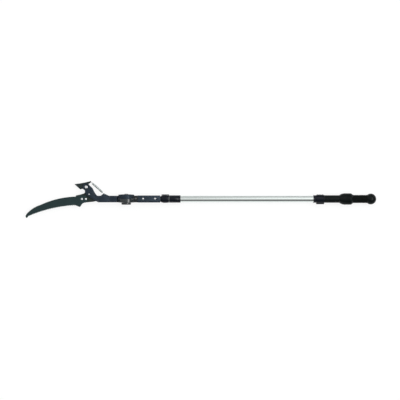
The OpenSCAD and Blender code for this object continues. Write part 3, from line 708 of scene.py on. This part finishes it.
def plate_with_teeth(rim, tips, bottom, top, tooth_set):
    """Corners and faces of the plate, whose teeth lean out of it on alternate sides."""
    drop = set(tips)
    kept = [i for i in range(len(rim)) if i not in drop]
    verts = []
    for i in kept:
        verts.append((rim[i].x, rim[i].y, bottom))
        verts.append((rim[i].x, rim[i].y, top))
    faces = [tuple(range(1, 2 * len(kept), 2)), tuple(reversed(range(0, 2 * len(kept), 2)))]
    teeth = 0
    for n, i in enumerate(kept):
        after = (n + 1) % len(kept)
        quad = (2 * n, 2 * after, 2 * after + 1, 2 * n + 1)
        tip = (i + 1) % len(rim)
        if tip not in drop:
            faces.append(quad)
            continue
        teeth += 1
        height = top + tooth_set if teeth % 2 else bottom - tooth_set
        verts.append((rim[tip].x, rim[tip].y, height))
        apex = len(verts) - 1
        faces += [(quad[k], quad[(k + 1) % 4], apex) for k in range(4)]
    return verts, faces


class SAW_OT_saw_blade(bpy.types.Operator):
    """Builds the saw blade with teeth ground on alternate sides."""

    bl_idname = "polesaw.saw_blade"
    bl_label = "Saw blade"

    def execute(self, context):
        sizes = context.scene.polesaw_sizes
        low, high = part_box("saw_blade")
        rim = whole_rim("saw_blade")
        tips = tooth_tips(rim)
        if len(tips) < FEWEST_TEETH:
            raise RuntimeError(f"only {len(tips)} teeth were found on the saw's outline")
        verts, faces = plate_with_teeth(rim, tips, low[2], high[2], sizes.tooth_set)
        mesh = bpy.data.meshes.new("saw_blade_ground")
        mesh.from_pydata(verts, [], faces)
        piece = bpy.data.objects.new("saw_blade_ground", mesh)
        context.scene.collection.objects.link(piece)
        height = middle("saw_blade").z
        for bolt in bolt_places():
            clear()
            bpy.ops.mesh.primitive_cylinder_add(
                vertices=BOLT_HOLE_SIDES,
                radius=sizes.bolt_hole,
                depth=0.02,
                location=(bolt.x, bolt.y, height),
            )
            cut(piece, context.object)
        smooth(piece, 20.0)
        settle(piece, "saw_blade_ground", saw_finish(rim, tips), "head", ["saw_blade"])
        return {"FINISHED"}


class SAW_OT_pruning_blade(bpy.types.Operator):
    """Builds the pruning blade with its bevelled cutting edge."""

    bl_idname = "polesaw.pruning_blade"
    bl_label = "Pruning blade"

    def execute(self, context):
        colours = context.scene.polesaw_colours
        finish = coated_blade("pruner_coating", tuple(colours.pruner), PRUNER_BARE)
        piece = copy_of("pruning_blade")
        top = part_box("pruning_blade")[1][2]
        hold(piece)
        bpy.ops.object.mode_set(mode="EDIT")
        bpy.ops.mesh.select_all(action="DESELECT")
        bpy.ops.object.mode_set(mode="OBJECT")
        for edge in piece.data.edges:
            a, b = (piece.data.vertices[i].co for i in edge.vertices)
            run = b - a
            on_top = min(a.z, b.z) > top - ON_TOP
            outside = max(a.x, b.x) < PIVOT.x - CUTTING_EDGE
            edge.select = on_top and outside and run.length > CUTTING_EDGE and run.x * run.y < 0
        if not any(edge.select for edge in piece.data.edges):
            raise RuntimeError("the pruning blade's cutting edge was not found")
        bpy.ops.object.mode_set(mode="EDIT")
        bpy.ops.mesh.bevel(offset=CUTTING_BEVEL, segments=1, affect="EDGES")
        bpy.ops.object.mode_set(mode="OBJECT")
        smooth(piece, 15.0)
        settle(piece, "pruning_blade_ground", finish, "cutter", ["pruning_blade"])
        return {"FINISHED"}


# ---------- return spring ----------

COIL_START = 0.0125  # from the foot's hook to the first turn
COIL_END = 0.014  # from the last turn to the top hook
COIL_PITCH = 1.12  # in wire diameters
COIL_STEPS = 20  # points in a turn
HOOK_RADIUS = 0.0031
HOOK_SWEEP = 300  # degrees
HOOK_STEPS = 12
TOP_HOOK_FROM = 180  # degrees
FOOT_HOOK_FROM = 60


def hook(centre, first, sweep):
    """Points of an open eye in the spring's own plane, from an angle in degrees round by sweep."""
    points = []
    for n in range(HOOK_STEPS + 1):
        a = math.radians(first + sweep * n / HOOK_STEPS)
        points.append((centre + HOOK_RADIUS * math.cos(a), HOOK_RADIUS * math.sin(a), 0.0))
    return points


def spring_path(start, end, length, wire, radius):
    """The wire's points from hook to hook: along the spring, across it, and up."""
    steps = round((end - start) / (wire * COIL_PITCH)) * COIL_STEPS
    coil = []
    for n in range(steps + 1):
        a = 2 * math.pi * n / COIL_STEPS
        x = start + (end - start) * n / steps
        coil.append((x, radius * math.sin(a), radius * math.cos(a)))
    into_coil = [
        (start - 0.0045, 0.0, 0.0),
        (start - 0.0028, 0.0, radius * 0.3),
        (start - 0.0012, -radius * 0.1, radius * 0.8),
    ]
    x, y, z = coil[-1]
    out_of_coil = [
        (x + 0.0015, y * 0.8, z * 0.8),
        (x + 0.0032, y * 0.3, z * 0.3),
        (x + 0.005, 0.0, 0.0),
    ]
    foot_hook = hook(0.0, FOOT_HOOK_FROM, HOOK_SWEEP)
    top_hook = hook(length, TOP_HOOK_FROM, -HOOK_SWEEP)
    return foot_hook + into_coil + coil + out_of_coil + top_hook


class SAW_OT_return_spring(bpy.types.Operator):
    """Winds the return spring from one wire, with a hook at each end."""

    bl_idname = "polesaw.return_spring"
    bl_label = "Return spring"

    def execute(self, context):
        sizes = context.scene.polesaw_sizes
        foot = Vector(JOINTS["spring_swing"]["pos_m"])
        foot.z = middle("lower_hook").z
        along = Vector(JOINTS["spring_stretch"]["axis"]).normalized()
        head = middle("spring_post")
        head.z = foot.z
        length = (head - foot).length
        up = Vector((0.0, 0.0, 1.0))
        across = up.cross(along)
        wire = sizes.spring_wire
        radius = (sizes.spring_od - wire) / 2
        start, end = COIL_START, length - COIL_END
        points = spring_path(start, end, length, wire, radius)
        curve = bpy.data.curves.new("return_spring_wire", "CURVE")
        curve.dimensions = "3D"
        curve.bevel_depth = wire / 2
        curve.bevel_resolution = 3
        curve.use_fill_caps = True
        spline = curve.splines.new("POLY")
        spline.points.add(len(points) - 1)
        for point, (x, y, z) in zip(spline.points, points):
            point.co = (*(foot + along * x + across * y + up * z), 1.0)
        wound = bpy.data.objects.new("return_spring_wire", curve)
        context.scene.collection.objects.link(wound)
        hold(wound)
        bpy.ops.object.convert(target="MESH")
        piece = context.object
        smooth(piece, 60.0)
        finish = plated_steel("spring_plating", tuple(context.scene.polesaw_colours.spring), 0.28)
        settle(piece, "return_spring_wire", finish, None, ["return_spring", "lower_hook", "upper_hook"])
        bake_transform(piece)
        return {"FINISHED"}


# ---------- grip ----------

GRIP_WALL = 0.0013
GRIP_PLAIN = 0.006  # smooth length at each end of the grip
RING_DEPTH = 0.0009
RING_GROOVE = (0.12, 0.34, 0.46)  # one groove: down, along and up, as shares of the pitch
FIT = 0.0001  # gap between the handle tube and what slides on it
STOP_NOSE = (  # the stop's front: distance back, and share of the rise from tube to widest
    (0.0014, 0.2),
    (0.004, 0.33),
    (0.009, 0.56),
    (0.014, 0.72),
    (0.021, 0.87),
)
STOP_SHOULDER = 0.028  # where the nose ends
STOP_FIRST_GROOVE = 0.034
STOP_LAST_GROOVE = 0.015  # from the stop's back
STOP_GROOVE = (0.55, 0.68, 0.87)  # one groove: down from, bottom from and bottom to, as shares
STOP_GROOVE_DEPTH = 0.0011
STOP_SIDES = 128
BALL_WALL = 0.0032
BALL_RINGS = 46
BALL_INNER_RINGS = 16
BALL_POLE = 0.0003  # radius at which the ball's end is closed
SEAM_INSET = 0.0012
SEAM_SHARE = 0.6  # the parting line lies further out than this share of the radius
SEAM_DEPTH = 0.0005


class SAW_OT_rubber_grip(bpy.types.Operator):
    """Turns the rubber grip with its rows of shallow rings."""

    bl_idname = "polesaw.rubber_grip"
    bl_label = "Rubber grip"

    def execute(self, context):
        sizes = context.scene.polesaw_sizes
        low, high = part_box("grip_sleeve")
        radius = (high[1] - low[1]) / 2
        bore = radius - GRIP_WALL
        length = high[0] - low[0]
        rings = [(0.0, bore), (0.0, radius - 0.0006), (0.0008, radius)]
        count = sizes.grip_rings
        pitch = (length - 2 * GRIP_PLAIN) / count
        down, along, up = RING_GROOVE
        for n in range(count):
            x = GRIP_PLAIN + pitch * n
            rings += [
                (x, radius),
                (x + pitch * down, radius - RING_DEPTH),
                (x + pitch * along, radius - RING_DEPTH),
                (x + pitch * up, radius),
            ]
        rings += [(length, radius), (length, bore)]
        piece = turned(Vector((low[0], AXIS.y, AXIS.z)), rings)
        smooth(piece, 50.0)
        finish = ribbed_rubber("grip_rubber", tuple(context.scene.polesaw_colours.rubber))
        settle(piece, "grip_sleeve_ringed", finish, "pull_grip", ["grip_sleeve"])
        return {"FINISHED"}


class SAW_OT_hand_stop(bpy.types.Operator):
    """Turns the hand stop with shallow finger grooves round its widest part."""

    bl_idname = "polesaw.hand_stop"
    bl_label = "Hand stop"

    def execute(self, context):
        sizes = context.scene.polesaw_sizes
        low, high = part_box("stop_front")
        length = high[0] - low[0]
        radius = (high[1] - low[1]) / 2
        tube = span("handle_tube").y / 2
        bore = tube + FIT
        rise = radius - tube
        rings = [(0.0, bore), (0.0, bore + 0.0008)]
        rings += [(x, tube + rise * share) for x, share in STOP_NOSE]
        rings.append((STOP_SHOULDER, radius - 0.0004))
        first, last = STOP_FIRST_GROOVE, length - STOP_LAST_GROOVE
        count = sizes.stop_grooves
        pitch = (last - first) / count
        rim, bottom, bottom_end = STOP_GROOVE
        for n in range(count):
            x = first + pitch * n
            rings += [
                (x, radius),
                (x + pitch * rim, radius),
                (x + pitch * bottom, radius - STOP_GROOVE_DEPTH),
                (x + pitch * bottom_end, radius - STOP_GROOVE_DEPTH),
            ]
        grip = (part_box("grip_sleeve")[1][1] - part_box("grip_sleeve")[0][1]) / 2
        rings += [(last, radius), (length - 0.012, radius - 0.0008), (length - 0.007, radius - 0.0036)]
        rings += [(length - 0.003, grip + 0.003), (length, grip), (length, bore)]
        piece = turned(Vector((low[0], AXIS.y, AXIS.z)), rings, sides=STOP_SIDES)
        smooth(piece, 40.0)
        finish = finishes()["handle_plastic"]
        settle(piece, "hand_stop_grooved", finish, "pull_grip", ["stop_front", "stop_back"])
        return {"FINISHED"}


class SAW_OT_ball_end(bpy.types.Operator):
    """Turns the ball end with the groove of its parting line."""

    bl_idname = "polesaw.ball_end"
    bl_label = "Ball end"

    def execute(self, context):
        low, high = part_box("ball_front")
        radius = (high[1] - low[1]) / 2
        centre = Vector((high[0] - radius, AXIS.y, AXIS.z))
        bore = span("handle_tube").y / 2 + FIT
        opening = math.acos((low[0] - centre.x) / radius)
        inner = radius - BALL_WALL
        rings = [(low[0] - centre.x, bore)]
        for n in range(BALL_RINGS):
            angle = opening * (1 - n / BALL_RINGS)
            rings.append((radius * math.cos(angle), radius * math.sin(angle)))
        rings += [(radius, BALL_POLE), (inner, BALL_POLE)]
        for n in range(1, BALL_INNER_RINGS + 1):
            angle = math.pi / 2 * n / BALL_INNER_RINGS
            rings.append((inner * math.cos(angle), inner * math.sin(angle)))
        rings.append((-0.001, bore))
        piece = turned(centre, rings)
        seam = middle("ball_front")
        seam.z = centre.z
        groove(piece, seam, (radius - SEAM_INSET) * SEAM_SHARE, SEAM_DEPTH)
        smooth(piece, 40.0)
        finish = finishes()["handle_plastic"]
        settle(piece, "ball_end_turned", finish, "pull_grip", ["ball_front", "ball_back"])
        return {"FINISHED"}


# ---------- screws ----------

SAW_BOLT_RECESS = 0.0026  # radii of the hexagonal recesses
SOCKET_SCREW_RECESS = 0.002
COVER_SCREW_RECESS = 0.0016
PIVOT_RECESS = 0.0036
COVER_HEAD_HEIGHT = 0.0018
PIVOT_HEAD_HEIGHT = 0.0052
COVER_SHANK = 0.57  # shank radii as shares of the head's
PIVOT_SHANK = 0.4


class SAW_OT_screws(bpy.types.Operator):
    """Makes the screw and bolt heads with their recesses."""

    bl_idname = "polesaw.screws"
    bl_label = "Screws and bolts"

    def execute(self, context):
        colours = context.scene.polesaw_colours
        bright = plated_steel("bright_bolts", tuple(colours.bolt), 0.16)
        black = plated_steel("black_screws", (0.1, 0.1, 0.11), 0.3)
        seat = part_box("saw_blade")[1][2]
        headed("saw_bolts", seat, SAW_BOLT_RECESS, bright, "head")
        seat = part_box("pole_socket")[1][2]
        headed("socket_screws", seat, SOCKET_SCREW_RECESS, bright, "top_section")
        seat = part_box("cover_screws")[1][2] - COVER_HEAD_HEIGHT
        headed("cover_screws", seat, COVER_SCREW_RECESS, black, "head", COVER_SHANK)
        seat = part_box("pivot_bolt")[1][2] - PIVOT_HEAD_HEIGHT
        headed("pivot_bolt", seat, PIVOT_RECESS, bright, "head", PIVOT_SHANK)
        return {"FINISHED"}


# ---------- castings, hub and locks ----------

ROUNDED = {
    "head": ["head_frame", "head_cover", "jaw_plate"],
    "top_section": ["swivel_base", "pole_socket"],
    "knob": ["swivel_knob"],
    "pole": ["front_collar", "collar_sleeve"],
    "front_lever": ["front_lever"],
    "handle": ["rear_collar"],
    "rear_lever": ["rear_lever"],
}


class SAW_OT_castings(bpy.types.Operator):
    """Rounds the edges of the castings, the plate, the hub and the locks."""

    bl_idname = "polesaw.castings"
    bl_label = "Castings and mouldings"

    def execute(self, context):
        sizes = context.scene.polesaw_sizes
        made = finishes()
        for body, nodes in ROUNDED.items():
            for node in nodes:
                softened(node, sizes.edge_round, made[SLOTS[node]], body)
        return {"FINISHED"}


# ---------- finishes of the parts that keep their CAD shape ----------

FINISHES = {}


def finishes():
    """Every slot's material, made at the first call and kept in FINISHES."""
    if FINISHES:
        return FINISHES
    colours = bpy.context.scene.polesaw_colours
    FINISHES.update(
        black_casting=cast_part("head_casting", tuple(colours.casting), 0.42, 0.4),
        jaw_steel=coated_blade("jaw_coating", tuple(colours.jaw), (0.3, 0.3, 0.3)),
        saw_steel=coated_blade("saw_plain", tuple(colours.saw), (0.2, 0.24, 0.23)),
        blade_steel=coated_blade("pruner_plain", tuple(colours.pruner), PRUNER_BARE),
        bright_steel=plated_steel("zinc_plating", tuple(colours.bolt), 0.2),
        dark_steel=plated_steel("black_oxide", (0.16, 0.16, 0.17), 0.34),
        spring_steel=plated_steel("hook_plating", tuple(colours.spring), 0.28),
        bronze=plated_steel("bearing_bronze", (0.62, 0.44, 0.22), 0.3),
        aluminium=drawn_tube("pole_aluminium", tuple(colours.pole), 0.08),
        hub_plastic=hub_part("hub_moulding", tuple(colours.hub)),
        socket_grey=cast_part("socket_casting", tuple(colours.socket), 0.34, 0.6),
        collar_plastic=moulded_part("lock_moulding", tuple(colours.lock), 0.2, 0.25),
        handle_plastic=moulded_part("handle_moulding", tuple(colours.handle), 0.34, 0.08),
        rubber_black=ribbed_rubber("plain_rubber", tuple(colours.rubber)),
        tube_black=drawn_tube("black_anodising", (0.03, 0.032, 0.035), 0.3, 0.6),
        bush_plastic=natural_plastic("bearing_plastic", (0.62, 0.62, 0.58)),
        webbing=woven_strap("strap_weave", (0.02, 0.02, 0.022)),
        cable_steel=stranded_cable("cable_strands", (0.65, 0.65, 0.63)),
    )
    return FINISHES


class SAW_OT_finish_parts(bpy.types.Operator):
    """Gives every part that keeps its CAD shape its own material."""

    bl_idname = "polesaw.finish_parts"
    bl_label = "Finish the parts"

    def execute(self, context):
        made = finishes()
        for node, piece in frame["nodes"].items():
            piece.data.materials.clear()
            piece.data.materials.append(made[SLOTS[node]])
        return {"FINISHED"}


# ---------- stage ----------

FLOOR_SIZE = 40.0
FLOOR_DROP = 0.0005  # the floor lies this far under the tool
LENS = 200.0  # a long lens, so that the view is nearly flat
CAMERA_REACH = 100.0
KEY_SIZE = 1.6
KEY_PLACE = (1.5, 2.8)  # across the tool, and up
FILL_SIZE = 2.0
FILL_PLACE = (-2.2, 2.2, 2.4)
PAPER = ((0.16, 0.16, 0.16), (0.15, 0.15, 0.15))
DIM_ANGLE = 1.35  # the studio is dimmer towards +X
DIM_WIDTH = 0.45
DIM_DEPTH = 0.6
STRIP_WIDTH = 0.16
STRIP_LENGTH = 0.45


class SAW_OT_stage(bpy.types.Operator):
    """Sets the floor, the soft light and the camera that looks straight down."""

    bl_idname = "polesaw.stage"
    bl_label = "Stage"

    def execute(self, context):
        look = context.scene.polesaw_stage
        clear()
        bpy.ops.mesh.primitive_plane_add(size=FLOOR_SIZE, location=(0.0, 0.0, -FLOOR_DROP))
        floor = context.object
        floor.name = "studio_floor"
        floor.data.materials.append(floor_finish(look.floor_glow))
        soft_sky(look)
        softbox("key_light", (look.key_side, *KEY_PLACE), KEY_SIZE, look.key_power)
        softbox("fill_light", FILL_PLACE, FILL_SIZE, look.fill_power)
        camera = bpy.data.cameras.new("camera")
        camera.lens = LENS
        camera.clip_end = CAMERA_REACH
        view = bpy.data.objects.new("camera", camera)
        context.scene.collection.objects.link(view)
        distance = look.view_width * camera.lens / camera.sensor_width
        view.location = (look.view_x, look.view_y, AXIS.z + distance)
        context.scene.camera = view
        context.scene.view_settings.view_transform = "Standard"
        return {"FINISHED"}


def floor_finish(glow):
    """Pale paper with a faint tooth, lit a little from within so that shadows stay light."""
    finish = Finish("studio_paper", Roughness=0.9, Specular_IOR_Level=0.1)
    tooth = finish.noise(size=0.02, detail=2.0)
    finish.colour(finish.mix(tooth * 0.3, *PAPER))
    finish.shader.inputs["Emission Color"].default_value = (1.0, 1.0, 1.0, 1.0)
    finish.shader.inputs["Emission Strength"].default_value = glow
    return finish.material


def soft_sky(look):
    """An even white studio with two dark bands, which draw the pole's reflection, and a bright strip."""
    world = bpy.data.worlds.new("studio_light")
    bpy.context.scene.world = world
    world.use_nodes = True
    nodes, links = world.node_tree.nodes, world.node_tree.links
    nodes.clear()

    def add(kind, **values):
        made = nodes.new(kind)
        for key, value in values.items():
            setattr(made, key, value)
        return made

    def maths(operation, first, second=0.0):
        made = add("ShaderNodeMath", operation=operation)
        for socket, value in zip(made.inputs, (first, second)):
            if isinstance(value, bpy.types.NodeSocket):
                links.new(value, socket)
            else:
                socket.default_value = value
        return made.outputs[0]

    def bell(lean, angle, width):
        """1 at an angle, falling off evenly on both sides."""
        off = maths("DIVIDE", maths("SUBTRACT", lean, angle), width)
        return maths("POWER", 2.718, maths("MULTIPLY", maths("MULTIPLY", off, off), -1.0))

    split = add("ShaderNodeSeparateXYZ")
    links.new(add("ShaderNodeTexCoord").outputs["Generated"], split.inputs[0])
    across = maths("ARCTAN2", split.outputs["Y"], split.outputs["Z"])
    along = maths("ARCTAN2", split.outputs["X"], split.outputs["Z"])
    dark = (
        (bell(across, look.band_angle, look.band_width), look.band_depth),
        (bell(across, look.edge_angle, look.edge_width), look.band_depth),
        (bell(along, DIM_ANGLE, DIM_WIDTH), DIM_DEPTH),
    )
    strength = look.sky
    for shape, depth in dark:
        strength = maths("SUBTRACT", strength, maths("MULTIPLY", shape, depth))
    strip = maths(
        "MULTIPLY",
        bell(along, look.strip_angle, STRIP_WIDTH),
        bell(across, 0.0, STRIP_LENGTH),
    )
    strength = maths("ADD", strength, maths("MULTIPLY", strip, look.strip_power))
    seen = add("ShaderNodeLightPath").outputs["Is Camera Ray"]
    white = add("ShaderNodeBackground")
    white.inputs["Strength"].default_value = 1.0
    banded = add("ShaderNodeBackground")
    links.new(strength, banded.inputs["Strength"])
    mixed = add("ShaderNodeMixShader")
    links.new(seen, mixed.inputs[0])
    links.new(banded.outputs[0], mixed.inputs[1])
    links.new(white.outputs[0], mixed.inputs[2])
    links.new(mixed.outputs[0], add("ShaderNodeOutputWorld").inputs["Surface"])


def softbox(name, place, size, power):
    """A square soft light aimed at the middle of the tool."""
    data = bpy.data.lights.new(name, "AREA")
    data.shape = "SQUARE"
    data.size = size
    data.energy = power
    lamp = bpy.data.objects.new(name, data)
    bpy.context.scene.collection.objects.link(lamp)
    lamp.location = place
    lamp.rotation_mode = "QUATERNION"
    lamp.rotation_quaternion = (Vector((0.0, 0.0, 0.0)) - Vector(place)).to_track_quat("-Z", "Y")


# ---------- settings that a user would change ----------


def length_of(name, text, default):
    """A length in metres."""
    return bpy.props.FloatProperty(
        name=name, description=text, default=default, subtype="DISTANCE", unit="LENGTH"
    )


def tint_of(name, text, default):
    """A colour."""
    return bpy.props.FloatVectorProperty(
        name=name, description=text, default=default, subtype="COLOR", size=3, min=0.0, max=1.0
    )


def number_of(name, text, default):
    """A plain number."""
    return bpy.props.FloatProperty(name=name, description=text, default=default)


def angle_of(name, text, default):
    """An angle in radians, shown in degrees."""
    return bpy.props.FloatProperty(
        name=name, description=text, default=default, subtype="ANGLE", unit="ROTATION"
    )


def count_of(name, text, default):
    """How many of something there are."""
    return bpy.props.IntProperty(name=name, description=text, default=default, min=1)


class PoleSawSizes(bpy.types.PropertyGroup):
    tooth_set: length_of("Tooth set", "How far each saw tooth leans out of the plate", 0.2 * MM)
    bolt_hole: length_of("Bolt hole", "Radius of the saw's bolt holes", 3.05 * MM)
    spring_od: length_of("Spring diameter", "Outside diameter of the return spring", 13.0 * MM)
    spring_wire: length_of("Spring wire", "Diameter of the return spring's wire", 2.0 * MM)
    edge_round: length_of("Edge rounding", "Width of the rounding on castings", 0.7 * MM)
    grip_rings: count_of("Grip rings", "Rings round the rubber grip", 11)
    stop_grooves: count_of("Stop grooves", "Grooves round the hand stop", 5)


class PoleSawColours(bpy.types.PropertyGroup):
    saw: tint_of("Saw", "Coating of the saw blade", (0.014, 0.034, 0.036))
    pruner: tint_of("Pruner", "Coating of the pruning blade", (0.016, 0.026, 0.026))
    jaw: tint_of("Jaw", "Coating of the jaw plate", (0.016, 0.026, 0.022))
    casting: tint_of("Casting", "Head casting", (0.019, 0.029, 0.041))
    hub: tint_of("Hub", "Swivel hub", (0.006, 0.012, 0.014))
    socket: tint_of("Socket", "Pole socket", (0.03, 0.043, 0.058))
    lock: tint_of("Locks", "Lock collars, levers and sleeve", (0.001, 0.003, 0.007))
    handle: tint_of("Handle", "Handle tube, hand stop and ball", (0.002, 0.004, 0.004))
    rubber: tint_of("Rubber", "Rubber grip", (0.002, 0.003, 0.0025))
    pole: tint_of("Pole", "Aluminium tube", (0.80, 0.86, 0.84))
    bolt: tint_of("Bolts", "Bright bolts and screws", (0.92, 0.93, 0.94))
    spring: tint_of("Spring", "Return spring", (0.72, 0.77, 0.77))


class PoleSawStage(bpy.types.PropertyGroup):
    view_x: length_of("View X", "Where the camera looks, along the tool", -0.0051)
    view_y: length_of("View Y", "Where the camera looks, across the tool", -0.0029)
    view_width: length_of("View width", "Width in view at the pole's height", 2.4313)
    sky: number_of("Sky", "Strength of the even light", 0.95)
    band_angle: angle_of("Band angle", "Lean of the dark band from straight up", -0.87)
    band_width: angle_of("Band width", "Half width of the dark band", 0.42)
    band_depth: number_of("Band depth", "How much darker the bands are", 0.9)
    edge_angle: angle_of("Edge angle", "Lean of the second dark band", 1.42)
    edge_width: angle_of("Edge width", "Half width of the second dark band", 0.24)
    strip_angle: angle_of("Strip angle", "Lean of the bright strip along the tool", 0.62)
    strip_power: number_of("Strip power", "How much brighter the strip is", 11.0)
    floor_glow: number_of("Floor glow", "Light that the floor gives off", 0.86)
    key_side: length_of("Key side", "Where the key light stands along X", 0.9)
    key_power: number_of("Key power", "Power of the key light in watts", 5.0)
    fill_power: number_of("Fill power", "Power of the fill light in watts", 8.0)


OPERATORS = (
    SAW_OT_finish_parts,
    SAW_OT_saw_blade,
    SAW_OT_pruning_blade,
    SAW_OT_return_spring,
    SAW_OT_castings,
    SAW_OT_rubber_grip,
    SAW_OT_hand_stop,
    SAW_OT_ball_end,
    SAW_OT_screws,
    SAW_OT_stage,
)


class SAW_PT_panel(bpy.types.Panel):
    """Lists the operators in the sidebar."""

    bl_label = "Pole saw"
    bl_idname = "SAW_PT_panel"
    bl_space_type = "VIEW_3D"
    bl_region_type = "UI"
    bl_category = "Pole saw"

    def draw(self, context):
        for operator in OPERATORS:
            self.layout.operator(operator.bl_idname)


GROUPS = {"polesaw_sizes": PoleSawSizes, "polesaw_colours": PoleSawColours, "polesaw_stage": PoleSawStage}
CLASSES = (*GROUPS.values(), *OPERATORS, SAW_PT_panel)


def register():
    """Adds the settings, the operators and the panel."""
    for cls in CLASSES:
        bpy.utils.register_class(cls)
    for name, group in GROUPS.items():
        setattr(bpy.types.Scene, name, bpy.props.PointerProperty(type=group))


def unregister():
    """Removes what register added."""
    for name in GROUPS:
        delattr(bpy.types.Scene, name)
    for cls in reversed(CLASSES):
        bpy.utils.unregister_class(cls)


def main():
    register()
    for operator in OPERATORS:
        module, name = operator.bl_idname.split(".")
        getattr(getattr(bpy.ops, module), name)()


if __name__ == "__main__":
    main()
